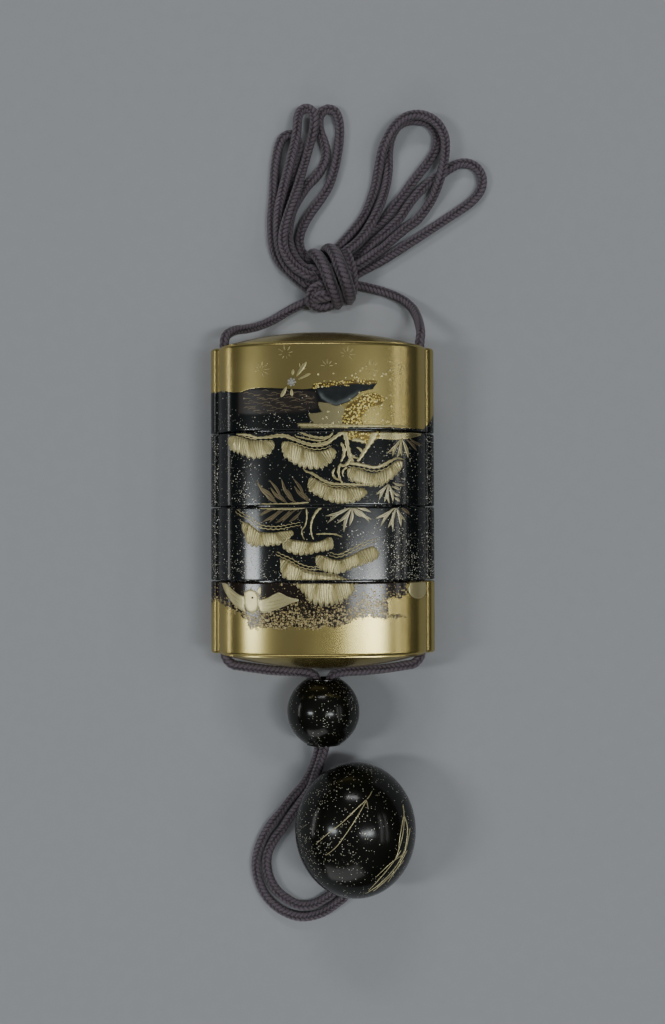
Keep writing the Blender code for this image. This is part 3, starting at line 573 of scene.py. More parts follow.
def maki_e_ground():
    """Black lacquer and polished gold, with sprinkled flakes between them."""
    n = Nodes("maki_e_ground")
    gold_in, flakes, bright, cloud, cloud_edge, bank, dots, brown, lid_side = (
        n.value(name) for name in GROUND_VALUES)
    ragged = n.noise(2600.0, detail=3.0, roughness=0.7)
    soft = n.noise(500.0, detail=3.0)
    cluster = n.noise(330.0, detail=2.0)
    wear = n.noise(120.0, detail=4.0)
    band = n.fade(n.noise(60.0, detail=2.0), 0.35, 0.65)

    # The gold's edge is ragged on the lid and nearly clean on the base
    fray = n.blend(lid_side, 0.2, 3.0)
    shift = n.plus(*(n.times(n.less(wave, 0.5), fray) for wave in (ragged, soft)))
    gold = n.fade(n.plus(gold_in, shift), -0.04, 0.08)

    fine, fine_tone = n.specks(2900.0, n.times(flakes, n.fade(cluster, 0.3, 0.7, 0.35, 1.75)), 0.40)
    dust, _ = n.specks(5200.0, n.times(flakes, 0.8), 0.40)
    coarse, coarse_tone = n.specks(2100.0, n.times(flakes, lid_side, 1.05), 0.58)
    sprinkle = n.times(n.most(fine, n.times(dust, 0.7), coarse), n.less(1.0, gold))
    big, big_tone = n.specks(2000.0, n.times(bright, 0.95), 0.55)
    dot, _ = n.specks(900.0, n.times(n.less(dots, cloud), 0.7), 0.26)

    gold_colour = n.layers(
        n.mix(wear, (0.46, 0.37, 0.125), (0.54, 0.445, 0.165)), (n.times(band, 0.5), (0.475, 0.39, 0.155)))
    flake_colour = n.layers(
        n.mix(fine_tone, (0.74, 0.66, 0.42), (0.95, 0.94, 0.86)),
        (lid_side, n.mix(coarse_tone, (0.30, 0.22, 0.075), (0.66, 0.55, 0.27))))
    black_colour = n.layers(
        n.mix(wear, (0.003, 0.005, 0.005), (0.009, 0.011, 0.011)),
        (lid_side, (0.016, 0.010, 0.006)),
        (brown, n.mix(soft, (0.012, 0.008, 0.006), (0.024, 0.016, 0.011))),
        (cloud, n.mix(soft, (0.010, 0.013, 0.013), (0.035, 0.042, 0.042))),
        (n.times(cloud_edge, n.fade(soft, 0.3, 0.7, 0.35, 0.9)), (0.20, 0.23, 0.22)))
    colour = n.layers(
        black_colour,
        (n.times(sprinkle, n.less(1.0, cloud)), flake_colour),
        (gold, gold_colour),
        (bank, n.mix(soft, (0.52, 0.45, 0.22), (0.60, 0.54, 0.29))),
        (n.fade(bright, 0.25, 0.6, 0.0, 0.85), n.mix(soft, (0.10, 0.060, 0.014), (0.22, 0.15, 0.04))),
        (big, n.mix(big_tone, (0.72, 0.52, 0.07), (1.0, 0.88, 0.34))),
        (dot, (0.95, 0.86, 0.46)))

    metal = n.times(n.most(gold, bank, n.times(sprinkle, 0.25)), n.less(1.0, n.times(n.most(big, dot), 0.7)))
    roughness = n.blend(metal, n.blend(wear, 0.13, 0.18), n.blend(wear, 0.22, 0.27))
    roughness = n.blend(n.most(big, sprinkle, brown), roughness, 0.34)
    relief = n.plus(n.plus(n.most(big, dot), n.times(sprinkle, 0.35)), n.times(gold, 0.2))
    return n.finish(colour, roughness, Metallic=n.times(metal, 0.92), Normal=n.bump(relief, 0.45, 0.00007))


def maki_e_relief():
    """The raised pictures, whose tone is 0 for gold, 1 for copper, 2 for black and below 0 for silver."""
    n = Nodes("maki_e_relief")
    tone, needle, reach, shade = (n.value(name) for name in RELIEF_VALUES)
    wave = n.math("COSINE", n.times(needle, 2 * math.pi))
    line = n.fade(wave, -0.9, 0.1, 1.0, 0.0)
    patch = n.noise(260.0, detail=4.0)
    grain = n.noise(3500.0, detail=2.0)
    colour = n.layers(
        n.mix(patch, (0.56, 0.49, 0.22), (0.79, 0.72, 0.40)),
        (n.fade(reach, 0.82, 1.0, 0.0, 0.8), (0.86, 0.80, 0.48)),
        (n.fade(tone, 0.1, 0.9), n.mix(patch, (0.15, 0.118, 0.070), (0.33, 0.27, 0.165))),
        (n.fade(tone, 1.1, 1.25), (0.20, 0.165, 0.115)),
        (n.fade(tone, 1.6, 1.9), (0.01, 0.008, 0.006)),
        (n.fade(tone, -0.2, -0.8), (0.52, 0.52, 0.50)),
        (n.times(line, 0.5), (0.17, 0.125, 0.045)),
        # shade: painted shade in the pines' valleys, and dark veins and darker tones on leaves and the bird
        (n.times(shade, 0.8), (0.075, 0.055, 0.022)),
        (n.fade(grain, 0.62, 0.85, 0.0, 0.35), (0.86, 0.80, 0.58)))
    normal = n.bump(n.plus(wave, n.times(grain, 0.8)), 0.5, 0.00007)
    return n.finish(colour, n.blend(grain, 0.28, 0.44), Metallic=0.75, Normal=normal)


def nashiji_black(name, sparse_end, dense_end):
    """Black lacquer sprinkled with fine gold and silver dust, thicker towards one end across it."""
    n = Nodes(name)
    across = n.node("ShaderNodeSeparateXYZ", {"Vector": n.place()}).outputs["X"]
    side = n.fade(across, sparse_end, dense_end)
    cloud = n.noise(130.0, detail=3.0)
    share = n.times(n.blend(side, 0.08, 0.22), n.fade(cloud, 0.35, 0.75, 0.4, 1.8))
    flake, tint = n.specks(3100.0, share, 0.36)
    wear = n.noise(200.0, detail=4.0)
    black = n.mix(wear, (0.003, 0.004, 0.003), (0.010, 0.010, 0.007))
    colour = n.mix(flake, black, n.mix(tint, (0.60, 0.54, 0.33), (1.0, 0.98, 0.86)))
    roughness = n.blend(flake, n.blend(wear, 0.13, 0.20), 0.35)
    normal = n.bump(n.plus(flake, n.times(wear, 0.2)), 0.35, 0.00004)
    return n.finish(colour, roughness, Metallic=n.times(flake, 0.4), Normal=normal, Specular_IOR_Level=0.3)


# The case
def signed_power(values, power):
    return np.sign(values) * np.abs(values) ** power


def oval(half_width, half_depth, turn):
    power = 2.0 / BODY_SQUARENESS
    return np.stack([half_width * signed_power(np.cos(turn), power),
                     half_depth * signed_power(np.sin(turn), power)], axis=-1)


def even_points(points, count):
    """The same line with evenly spaced points."""
    along = np.concatenate([[0], np.cumsum(step_lengths(points))])
    places = np.linspace(0, along[-1], count)
    return np.stack([np.interp(places, along, points[:, 0]), np.interp(places, along, points[:, 1])], 1)


def crease_turn(half_width, half_depth, rib_radius):
    turns = np.linspace(0, math.pi / 2, CREASE_SAMPLES)
    points = oval(half_width, half_depth, turns)
    inside = np.hypot(points[:, 0] - RIB_CENTRE, points[:, 1]) < rib_radius
    return turns[np.argmin(inside)]


def section(inset):
    """The ribbed outline drawn in by inset, as across and depth."""
    half_width = BODY_HALF_WIDTH - inset
    half_depth = BODY_HALF_DEPTH - inset
    rib_radius = RIB_RADIUS - inset
    start = crease_turn(half_width, half_depth, rib_radius)
    face = oval(half_width, half_depth, np.linspace(start, math.pi - start, FACE_SAMPLES))
    corner = face[0]
    rib_turn = math.atan2(corner[1], corner[0] - RIB_CENTRE)
    turns = np.linspace(-rib_turn, rib_turn, RIB_POINTS + 2)[1:-1]
    right = np.stack([RIB_CENTRE + rib_radius * np.cos(turns), rib_radius * np.sin(turns)], 1)
    front = even_points(face, FRONT_POINTS)
    back = even_points(face, BACK_POINTS)
    outline = np.vstack([front, right[::-1] * (-1, 1), back * (-1, -1), right])
    outline[:, 1] = np.maximum(outline[:, 1], -(AXIS_HEIGHT - inset))
    return outline


SECTION_TURNS = np.arctan2(section(0.0)[:, 1] / BODY_HALF_DEPTH, section(0.0)[:, 0] / RIB_CENTRE)


def oval_section(half_width, half_depth):
    """The plain oval, with its points at the same turns as the ribbed outline."""
    along = np.stack([np.cos(SECTION_TURNS), np.sin(SECTION_TURNS)], 1)
    size = (np.abs(along[:, 0]) ** BODY_SQUARENESS
            + np.abs(along[:, 1]) ** BODY_SQUARENESS) ** (-1 / BODY_SQUARENESS)
    points = along * size[:, None] * (half_width, half_depth)
    points[:, 1] = np.maximum(points[:, 1], -AXIS_HEIGHT)
    return points


def at(points, y):
    return np.stack([points[:, 0], np.full(len(points), y), AXIS_HEIGHT + points[:, 1]], 1)


def rounded_wall(high, low, high_rounding, low_rounding):
    """Rings of the outside wall from its high rim to its low rim."""
    rings = []
    for step in range(ROUNDING_STEPS):
        slant = math.pi / 2 * step / ROUNDING_STEPS
        rings.append(at(section(high_rounding * (1 - math.sin(slant))),
                        high - high_rounding * (1 - math.cos(slant))))
    top = high - high_rounding
    bottom = low + low_rounding
    wall = section(0.0)
    rings += [at(wall, y) for y in np.linspace(top, bottom, round((top - bottom) / WALL_ROW) + 1)]
    for step in range(1, ROUNDING_STEPS + 1):
        slant = math.pi / 2 * step / ROUNDING_STEPS
        rings.append(at(section(low_rounding * (1 - math.cos(slant))),
                        low + low_rounding * (1 - math.sin(slant))))
    return rings


def dome_rings(size, end, direction, rise, thinning=0.0):
    """Rings of a domed end, from its edge to its middle."""
    reach = size[0] / BODY_HALF_WIDTH
    rings = []
    for share in DOME_SHARES:
        height = rise * (1 - (reach * share) ** 2) - thinning
        rings.append(at(oval_section(size[0] * share, size[1] * share), end + direction * height))
    return rings


def neck_rings(low):
    """The neck and the face around it, from the outside wall inward."""
    outside = oval_section(*NECK)
    inside = oval_section(*HOLLOW)
    outer_lip = oval_section(NECK[0] - NECK_LIP, NECK[1] - NECK_LIP)
    inner_lip = oval_section(HOLLOW[0] + NECK_LIP, HOLLOW[1] + NECK_LIP)
    end = low - NECK_LENGTH
    return [at(outside, low), at(outside, end + NECK_LIP), at(outer_lip, end), at(inner_lip, end),
            at(inside, end + NECK_LIP)]


def end_size():
    rim = END_ROUNDING + DOME_SHOULDER
    return BODY_HALF_WIDTH - rim, BODY_HALF_DEPTH - rim


def cut_away(name, body, cutters):
    """The body's mesh without what the cutters take; the body and the cutters are removed."""
    for cutter in cutters:
        modifier = body.modifiers.new("cut", "BOOLEAN")
        modifier.operation = "DIFFERENCE"
        modifier.solver = "EXACT"
        modifier.object = cutter
    bpy.context.view_layer.update()
    graph = bpy.context.evaluated_depsgraph_get()
    mesh = bpy.data.meshes.new_from_object(body.evaluated_get(graph))
    mesh.name = name
    for item in [body] + cutters:
        bpy.data.objects.remove(item, do_unlink=True)
    mesh.shade_smooth()
    mesh.set_sharp_from_angle(angle=math.radians(SHARP_ANGLE))
    return mesh


def cut_channels(name, mesh, high, low):
    """Cut the two cord channels through a tier and return the finished mesh."""
    turns = full_turn(CHANNEL_SIDES)
    cutters = []
    for side in (-1, 1):
        x = side * CHANNEL_CENTRE + CHANNEL_RADIUS * np.cos(turns)
        z = AXIS_HEIGHT + CHANNEL_RADIUS * np.sin(turns)
        rings = [np.stack([x, np.full(CHANNEL_SIDES, y), z], 1) for y in (high + CUT_PAST, low - CUT_PAST)]
        cutters.append(linked(f"{name}_cutter", outward(ring_stack("channel", rings))))
    return cut_away(name, linked(f"{name}_uncut", mesh), cutters)


def tier_rings(kind, high, low):
    if kind == "base":
        rings = dome_rings(end_size(), high, 1, BASE_DOME)[::-1]
        rings.append(at(oval_section(*end_size()), high))
        rings += rounded_wall(high, low, END_ROUNDING, EDGE_ROUNDING)
        rings += neck_rings(low)
        rings += dome_rings(HOLLOW, high, 1, BASE_DOME, END_WALL)
        return rings
    if kind == "middle":
        rings = [at(oval_section(SOCKET[0] * share, SOCKET[1] * share), high - SOCKET_LENGTH)
                 for share in (0.05, 0.5, 1.0)]
        rings.append(at(oval_section(*SOCKET), high))
        rings += rounded_wall(high, low, EDGE_ROUNDING, EDGE_ROUNDING)
        rings += neck_rings(low)
        floor = high - SOCKET_LENGTH - FLOOR
        rings += [at(oval_section(HOLLOW[0] * share, HOLLOW[1] * share), floor)
                  for share in (1.0, 0.5, 0.05)]
        return rings
    rings = dome_rings(HOLLOW, low, -1, LID_DOME, END_WALL)[::-1]
    seat = high - SOCKET_LENGTH
    rings += [at(oval_section(*HOLLOW), seat), at(oval_section(*SOCKET), seat),
              at(oval_section(*SOCKET), high)]
    rings += rounded_wall(high, low, EDGE_ROUNDING, END_ROUNDING)
    rings.append(at(oval_section(*end_size()), low))
    rings += dome_rings(end_size(), low, -1, LID_DOME)
    return rings


def build_tier(node, kind, high, low, material):
    name = f"{node}_lacquer"
    mesh = outward(ring_stack(name, tier_rings(kind, high, low)))
    mesh = cut_channels(name, mesh, high, low)
    paint_ground(mesh)
    piece = linked(name, mesh, material)
    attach(piece, "root")
    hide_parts(node)


def build_case(material, inlay_material):
    joints = [BASE_END - BASE_LENGTH - count * TIER_LENGTH for count in range(3)]
    half = JOINT_GAP / 2
    tiers = (("base_case", "base", BASE_END, joints[0] + half),
             ("lower_case", "middle", joints[0] - half, joints[1] + half),
             ("upper_case", "middle", joints[1] - half, joints[2] + half),
             ("lid", "lid", joints[2] - half, LID_END))
    for node, kind, high, low in tiers:
        build_tier(node, kind, high, low, material)
        build_inlay(node, high, low, inlay_material)


# The pictures, as outlines and lines across and along the case's face; the ones here tell the ground
# where it is black, clouded, bright with big flakes, plain gold or brown
GROUND_BLACK = (
    (-30, 55.9), (-25, 55.9), (-22, 55.2), (-20, 55.1), (-18, 55.8), (-15, 56), (-10, 55.7),
    (-5, 55.4), (-1.5, 55.7), (1, 56.3), (3, 56.9), (8, 57.1), (13.5, 57), (12.4, 55.5),
    (9.8, 54.9), (8.2, 53.6), (6.5, 52.3), (4.6, 51.6), (3.4, 51.2), (1.5, 51.9), (-0.9, 52.2),
    (-0.6, 50.8), (0.1, 49.8), (-1.2, 49.5), (-3.3, 49.4), (-2.8, 48), (-1.8, 47.1), (-6.2, 47),
    (-5.2, 46.2), (30, 46.1), (30, 8.2), (21.2, 8.2), (20.9, 6.5), (21.3, 4.7), (17.5, 4.4),
    (15.4, 3.4), (16.2, 0.6), (20.2, -0.3), (16, -0.7), (12, -0.2), (9, -0.8), (6, -1.8), (3, -3),
    (0, -2.6), (-4, -3), (-10, -3), (-15, -2.8), (-18, -2.9), (-18.8, -1.2), (-20, -0.2),
    (-22.5, 1.4), (-25, 2.6), (-27, 3.2), (-30, 3.4),
)
CORNER_BLACK = ((25.2, 44), (25.4, 46.2), (26.5, 47.3), (27.6, 48.9), (28.6, 51), (30, 51.5), (30, 44))
CLOUD = ((-1.6, 55.6), (1, 56.3), (3, 56.9), (8, 57.1), (13.5, 57), (12.4, 55.5), (9.8, 54.9),
         (8.2, 53.6), (6.5, 52.3), (4.6, 51.6), (3.4, 51.2), (1.5, 51.9), (-0.2, 53))
BANK = ((-6, 47), (-5, 45.9), (5.2, 45.9), (5, 48), (5.6, 50.6), (5, 51.4), (3.4, 51.2), (1.5, 51.9),
        (-0.9, 52.2), (-0.6, 50.8), (0.1, 49.8), (-1.2, 49.5), (-3.3, 49.4), (-2.8, 48), (-1.8, 47.1))
BRIGHT_PATCH = ((5.0, 46.3), (5.0, 48), (5.8, 51), (8.3, 52.8), (10.5, 54.2), (13, 54.6), (15.4, 53.2),
                (14.6, 51.8), (12, 51.2), (10.4, 49.8), (9.4, 48.2), (10.4, 46.3))
TRUNK_GOLD = ((5.2, 45.2), (5.2, 43.6), (7, 42.9), (9.4, 42.7), (11.2, 41.8), (12.8, 42.8), (14.2, 43.6),
              (14.4, 45.2))
RIM_GOLD = ((13.4, 45.2), (13.8, 43.4), (17, 43.1), (21, 43.4), (24.5, 44.5), (25, 45.2))
NET_BROWN = ((-21, 49.6), (-21, 55.2), (-18, 55.8), (-10, 55.6), (-4, 55.4), (-1.4, 55), (-0.9, 52.2),
             (-0.8, 50.6), (-4, 49.6), (-12, 49.2))

# Pine foliage: the upper edge and the lower edge of each cluster, left to right
PINES = (
    (((-24, 43.4), (-22.6, 44.4), (-20.5, 44.2), (-17.5, 43.2), (-14, 43), (-11.2, 42.6)),
     ((-24, 42.6), (-22.6, 40.8), (-20, 39.7), (-17.8, 38.7), (-15.6, 38.6), (-13, 39.5), (-11, 41.4))),
    (((-10.8, 41.5), (-9.5, 42.6), (-7.5, 42.5), (-5.5, 41.6), (-3, 40.6), (-0.5, 40.3), (1.5, 40.8),
      (3, 41.7), (4.2, 41.8)),
     ((-10.6, 40.5), (-9.5, 39), (-8, 37.8), (-6.5, 36.9), (-4.5, 36.1), (-1, 35.8), (0.7, 36.3),
      (2.2, 37.4), (4.3, 40.2))),
    (((-4.3, 32.7), (-3, 33.7), (-1.5, 33.4), (0, 32.4), (2, 31.5), (5, 31.2), (8, 31.3), (12.2, 31.2)),
     ((-4.4, 31.8), (-3.5, 30.5), (-2, 29.7), (0, 28.6), (2, 27.8), (4.5, 27.3), (8, 27.7), (12, 30))),
    (((5.2, 34.8), (6.3, 36), (8, 36.3), (10, 35.6), (12, 34.9), (14, 35.2), (16, 36.2), (18, 37.8),
      (19.5, 38), (20.3, 37)),
     ((5.4, 33.7), (6.8, 32.8), (9, 32.3), (11, 31.6), (13, 31.5), (15, 31.9), (17, 33.3), (18.5, 34.6),
      (20.2, 35.8))),
    (((-20.7, 21.8), (-19.8, 22.8), (-18.2, 22.8), (-16.8, 21.8), (-15.3, 20.7), (-12, 20.4),
      (-9, 20.8), (-6.5, 21)),
     ((-20.5, 20.8), (-19.2, 19.6), (-18.7, 18), (-17, 16.8), (-15.2, 17), (-12, 17.1), (-10, 17.5),
      (-8, 18.8), (-6.4, 19.9))),
    (((-10.5, 17.8), (-9, 18.8), (-7, 18.6), (-4.5, 18.3), (-2, 18.1), (0, 18.5), (1.5, 19.2),
      (3, 18.8), (3.5, 17.8)),
     ((-10.6, 16.9), (-9.3, 16), (-7.5, 15.2), (-5.5, 14.8), (-3, 15), (-1, 15.5), (1, 15.8), (2.5, 16.2),
      (3.5, 17))),
    (((-2.8, 13.4), (-1.5, 14.6), (0.5, 14.7), (2, 14), (4, 13.7), (6, 14.3), (8, 15.3), (10.5, 16.5),
      (13, 17), (14.8, 16)),
     ((-2.6, 12.5), (-1, 11.6), (0.5, 10.8), (2.5, 10.2), (4.5, 10.3), (6.5, 11.1), (8.5, 11.8),
      (10.5, 12.5), (12.5, 13.2), (15, 14.8))),
    (((-11.5, 12.2), (-10.2, 13.8), (-8.5, 13.5), (-7, 12.6), (-5, 11.6), (-2.5, 10.9), (0.5, 10.6),
      (3, 10.2), (4.5, 9.6), (7, 8.6), (9.3, 7.4)),
     ((-11.3, 11), (-10, 9.4), (-8.5, 8.6), (-6, 6.8), (-4.5, 5.2), (-3, 3.4), (-1, 2.5), (1.5, 2.4),
      (4, 3), (6.3, 4.2), (7.5, 5.2), (9.3, 6.2))),
)

# Leaf sprays: where the leaves start, their tips, their width, and their tone from silver, below 0, to
# copper, near 1
SPRAYS = (
    (((7.3, 26.6),), ((0.6, 24.3), (1.1, 22.5), (3.4, 22.4), (5.2, 20.3), (6.6, 21.8), (9.6, 24.0),
                      (11.6, 22.8), (12.3, 23.4), (12.1, 25.2)), 1.0, -0.42),
    (((18.1, 26.6),), ((12.8, 23.6), (14.2, 21.7), (16.0, 21.4), (17.3, 20.8), (19.4, 21.5),
                       (20.4, 23.2)), 1.0, -0.42),
    (((19.6, 43.5),), ((15.9, 39.7), (17.2, 38.9), (18.4, 38.6), (19.7, 38.9), (21.3, 38.6)), 0.95, -0.3),
    (((16.3, 32.3),), ((13.0, 29.5), (13.9, 28.2), (15.1, 27.6), (16.4, 27.3), (17.4, 27.7)), 0.95, -0.42),
    (((17.0, 31.6), (17.4, 30.3), (17.6, 29.0), (17.2, 32.6)),
     ((19.4, 30.6), (19.3, 29.2), (19.2, 27.8), (20.4, 31.9)), 0.85, -0.42),
    (((-11.9, 28.0), (-11.2, 27.7), (-10.9, 27.5), (-9.8, 27.9), (-9.1, 27.7), (-8.6, 27.5), (-7.5, 28.0),
      (-6.8, 27.7), (-6.2, 27.5), (-4.2, 28.2), (-3.5, 28.0), (-2.9, 27.8)),
     ((-16.2, 33.2), (-15.4, 31.6), (-14.2, 30.0), (-13.1, 33.4), (-12.8, 31.5), (-11.8, 30.0), (-10.0, 33.6),
      (-9.9, 31.6), (-9.0, 30.2), (-7.2, 33.7), (-6.9, 31.8), (-6.0, 30.4)), 0.95, 0.75),
    (((-10.0, 26.2), (-9.0, 26.1), (-7.6, 26.1), (-6.3, 26.0), (-5.2, 25.6), (-11.6, 26.1)),
     ((-14.9, 22.9), (-13.1, 22.7), (-11.5, 22.6), (-9.9, 22.7), (-8.2, 22.9), (-15.6, 24.4)), 0.95, 0.8),
    (((20.6, 43.5), (21.6, 43.6), (19.2, 26.5)), ((23.6, 40.5), (25.2, 42.0), (21.7, 24.6)), 0.9, 0.95),
)

# Trunks and branches: points along each, with its widths
TRUNKS = (
    (((5.4, 45.2), (6.0, 43.2), (6.2, 41.5), (6.6, 40), (6.9, 38.6), (7.8, 37.5)),
     (1.5, 1.3, 1.0, 1.1, 1.0, 0.7)),
    (((13.2, 45.2), (12.3, 43.2), (11.3, 41.6), (10.3, 40), (9.3, 38.5), (8.6, 37.6)),
     (2.0, 1.8, 1.2, 1.0, 0.9, 0.6)),
    (((7.2, 43.0), (9.0, 42.9), (10.6, 42.3)), (0.8, 1.0, 0.8)),
    (((4.6, 42.4), (5.4, 40.6), (5.2, 39.0), (4.5, 37.4)), (0.5, 0.9, 0.8, 0.4)),
    (((6.9, 38.4), (6.2, 37.2), (5.2, 36.6), (4.2, 37.2)), (0.8, 0.9, 0.7, 0.4)),
    (((6.6, 40.2), (7.6, 38.9), (8.9, 38.4)), (0.3, 0.6, 0.4)),
    (((3.2, 36.2), (2.6, 34.9), (3.2, 33.6), (4.6, 33.1)), (0.3, 0.6, 0.6, 0.3)),
    (((-6.5, 43.9), (-3.4, 43.2), (-0.2, 42.8), (2.2, 43.8)), (0.3, 0.4, 0.4, 0.3)),
    (((8.4, 41.2), (9.4, 40.6), (9.9, 39.4)), (0.4, 0.7, 0.4)),
    (((5.6, 37.3), (8.2, 37.1), (10.6, 36.7), (13, 36.3), (15, 36.9), (16.6, 37.8), (18.6, 38.6),
      (20.4, 38.2)), (0.6, 0.8, 0.8, 0.6, 0.7, 0.6, 0.5, 0.3)),
    (((4.4, 37.2), (4.0, 35.4), (4.3, 33.6), (5.0, 32.2)), (0.5, 0.7, 0.6, 0.4)),
    (((6.2, 36.4), (5.1, 35.4), (5.0, 34.0)), (0.5, 0.5, 0.3)),
    (((-21.4, 44.8), (-18.2, 44.4), (-16, 43.7), (-13, 43.8), (-10.6, 44.1), (-8.6, 43.9), (-6.6, 43.1),
      (-4.6, 42.3), (-2.6, 41.8), (-0.6, 41.9), (1.2, 42.3), (2.6, 43.2), (4.0, 44.2), (5.4, 44.9)),
     (0.4, 0.7, 0.6, 0.5, 0.8, 0.9, 0.9, 0.8, 0.8, 0.8, 0.9, 0.9, 0.9, 0.9)),
    (((-5.6, 45.0), (-3.2, 44.0), (-0.4, 43.5), (1.6, 43.7), (2.8, 44.8)), (0.4, 0.6, 0.6, 0.6, 0.4)),
    (((-4.8, 36.2), (-4.0, 35.3), (-2.4, 34.8), (-1.2, 34.0), (0.4, 33.0), (2.4, 32.3), (5, 32.1),
      (8, 32.0), (12, 31.8)), (0.3, 0.5, 0.7, 0.7, 0.6, 0.6, 0.6, 0.5, 0.3)),
    (((-15.6, 26.4), (-11, 26.3), (-7, 26.2), (-4, 26.4)), (0.4, 0.8, 0.7, 0.4)),
    (((-15.2, 27.4), (-9, 27.3), (-3.2, 27.7)), (0.3, 0.5, 0.4)),
    (((-0.2, 26.6), (-1.4, 25.4), (-2.4, 23.6), (-2.8, 21.6), (-2.6, 19.8), (-2.1, 18.5)),
     (0.8, 0.7, 0.5, 0.45, 0.4, 0.35)),
    (((-3.9, 26.4), (-3.8, 24), (-4.2, 22), (-5.0, 20.8), (-4.8, 19.4), (-4.3, 18.5)),
     (0.4, 0.35, 0.35, 0.35, 0.35, 0.25)),
    (((-1.6, 19.9), (1, 20), (3.4, 19.8), (4.9, 19.2)), (0.3, 0.4, 0.4, 0.25)),
    (((-6.0, 46.6), (2, 46.5), (10, 46.4), (21.4, 46.6)), (0.4, 0.7, 0.7, 0.4)),
    (((-16.5, 20.9), (-18.4, 22.3), (-20.6, 23.4)), (0.3, 0.3, 0.2)),
)

# Thin branches over the pines, each drawn as a pair of knotted lines
TWIGS = (
    ((-20, 44.0), (-17, 43.1), (-15, 43.2), (-12, 43.2)),
    ((-8.4, 43.0), (-5, 41.9), (-2.6, 41.1), (0, 41.1), (2.4, 41.9)),
    ((-2.8, 34.2), (0.4, 32.6), (3, 31.9), (9, 31.8)),
    ((6.6, 36.8), (10, 36.2), (12.4, 35.7), (15, 36.1), (18.2, 38.1)),
    ((-21.4, 25.9), (-19.5, 24.6), (-18, 24), (-16.5, 22.8), (-15, 21.9), (-12.5, 21.5), (-10, 21.6),
     (-8, 22), (-5.2, 22.5)),
    ((1.6, 15.2), (3.6, 14.6), (5.6, 15.2), (8, 16.4), (10.5, 17.6), (13.6, 18.6)),
    ((-11.4, 15.4), (-9.6, 14.5), (-7.6, 13.6), (-5.6, 12.4), (-3.4, 11.7), (-0.6, 11.6), (1.4, 11.2)),
)

# Needle bursts on the gold: centre, nearest and furthest reach, the turns in degrees, and count
BURSTS = (
    (-8.9, 64.3, 0.7, 2.3, 10, 330, 8), (-15.0, 60.4, 0.5, 2.6, -70, 190, 8),
    (6.1, 63.9, 0.6, 2.4, -40, 200, 7), (1.3, 61.0, 0.5, 2.0, 10, 170, 5),
    (12.0, 60.7, 0.7, 2.2, 0, 330, 11), (-5.2, 60.2, 0.4, 1.8, 10, 100, 4),
    (18.6, 60.6, 0.6, 1.8, 20, 330, 7),
)

# The flower's petals, each from and to a place with a width, and its middle
PETALS = (
    (-8.6, 56.2, -10.1, 53.4, 1.25), (-7.5, 55.6, -7.3, 53.6, 1.0), (-6.3, 58.5, -3.7, 62.2, 1.3),
    (-5.9, 57.8, -2.6, 59.3, 0.8), (-7.2, 58.8, -7.0, 60.4, 0.9),
)
FLOWER = (-7.4, 57.2)

# The bird, and the disc at the right of the lid
BIRD_WING = ((-25.4, 8.1), (-24, 7.8), (-22.4, 6.4), (-20.6, 5.1), (-19.2, 4.6), (-18.8, 3.2), (-19.2, 1.8),
             (-18.6, 0.6), (-20.2, 1.2), (-22.2, 2.8), (-24.2, 5.4))
BIRD_BODY = ((-19.4, 4.6), (-19.2, 5.8), (-18.2, 6.4), (-16.8, 6.3), (-15.9, 5.4), (-15.5, 4.0),
             (-15.6, 2.2), (-16.2, 0.9), (-17.4, 0.5), (-18.6, 1.0), (-19.3, 2.6))
BIRD_TAIL = ((-15.7, 3.9), (-13.4, 4.5), (-12, 5.3), (-10.6, 5.7), (-8.2, 4.6), (-5.7, 3.9), (-8.2, 2.8),
             (-10.6, 1.8), (-13.2, 0.9), (-15.2, 0.8), (-15.9, 2.2))
BIRD_CREST = ((-16.2, 5.8), (-15.4, 7.1), (-15.1, 7.0), (-15.3, 5.0))
BIRD_EYE = (-17.2, 4.4, 0.3)
FEATHERS = (
    ((-19.8, 4.2), (-21.4, 5.2), (-23.8, 7.2)), ((-19.8, 3.4), (-21.4, 4.3), (-23.4, 5.9)),
    ((-19.9, 2.5), (-21.0, 3.2), (-22.6, 4.4)), ((-14.8, 3.5), (-13.0, 4.1), (-10.8, 5.1)),
    ((-14.6, 3.0), (-12.0, 3.5), (-9.0, 4.3)), ((-14.6, 2.3), (-12.0, 2.7), (-8.6, 3.5)),
    ((-14.8, 1.6), (-12.8, 1.7), (-10.4, 2.4)),
)
SUN = (23.7, 6.3, 2.5)

# Where along the case the base's picture starts and the lid's ends, how far under the case's axis the
# front reaches, and the share of the half width where relief on the face stops leaning further out
BASE_FROM = 46.0
LID_TO = 8.3
BELOW_AXIS = 1.0
FACE_LIMIT = 0.985

# Relief: the bare strip at a tier's rims, and how deep its edges are sunk
RIM_MARGIN = 0.3
EDGE_SINK = 0.05

# Pine clusters and twigs: the lobes, their points, the pitch of the needles and of a twig's knots, and
# how far a twig's two lines part
LEAST_LOBES = 5
LOBE_WIDTH = 1.45
LOBE_COLUMNS = 13
PINE_ROWS = 16
EDGE_POINTS = 400
NEEDLE_PITCH = 0.45
TWIG_POINTS = 90
TWIG_KNOT_PITCH = 1.25
TWIG_GAP = 0.14
TWIG_SWELL = 0.28

# Strokes: the least count of points, their spacing, the length of a rounded end, and the shares of the
# width at which points lie
STROKE_LEAST = 8
STROKE_STEP = 0.25
STROKE_END = 0.4
STROKE_SHARES = (-0.5, -0.44, -0.28, -0.08, 0.08, 0.28, 0.44, 0.5)

# Filled shapes: the spacing along an outline, and each ring's share of its size and of its height
BLOB_STEP = 0.2
BLOB_RINGS = ((1.0, 0.0), (0.95, 0.55), (0.88, 0.85), (0.75, 1.0), (0.55, 1.0), (0.3, 1.0),
              (0.02, 1.0))

# The ripples: their rows, and their pitch across and along
WAVE_ROWS = 9
WAVE_LOW = 49.7
WAVE_PITCH = 0.62
WAVE_STEP = 2.3


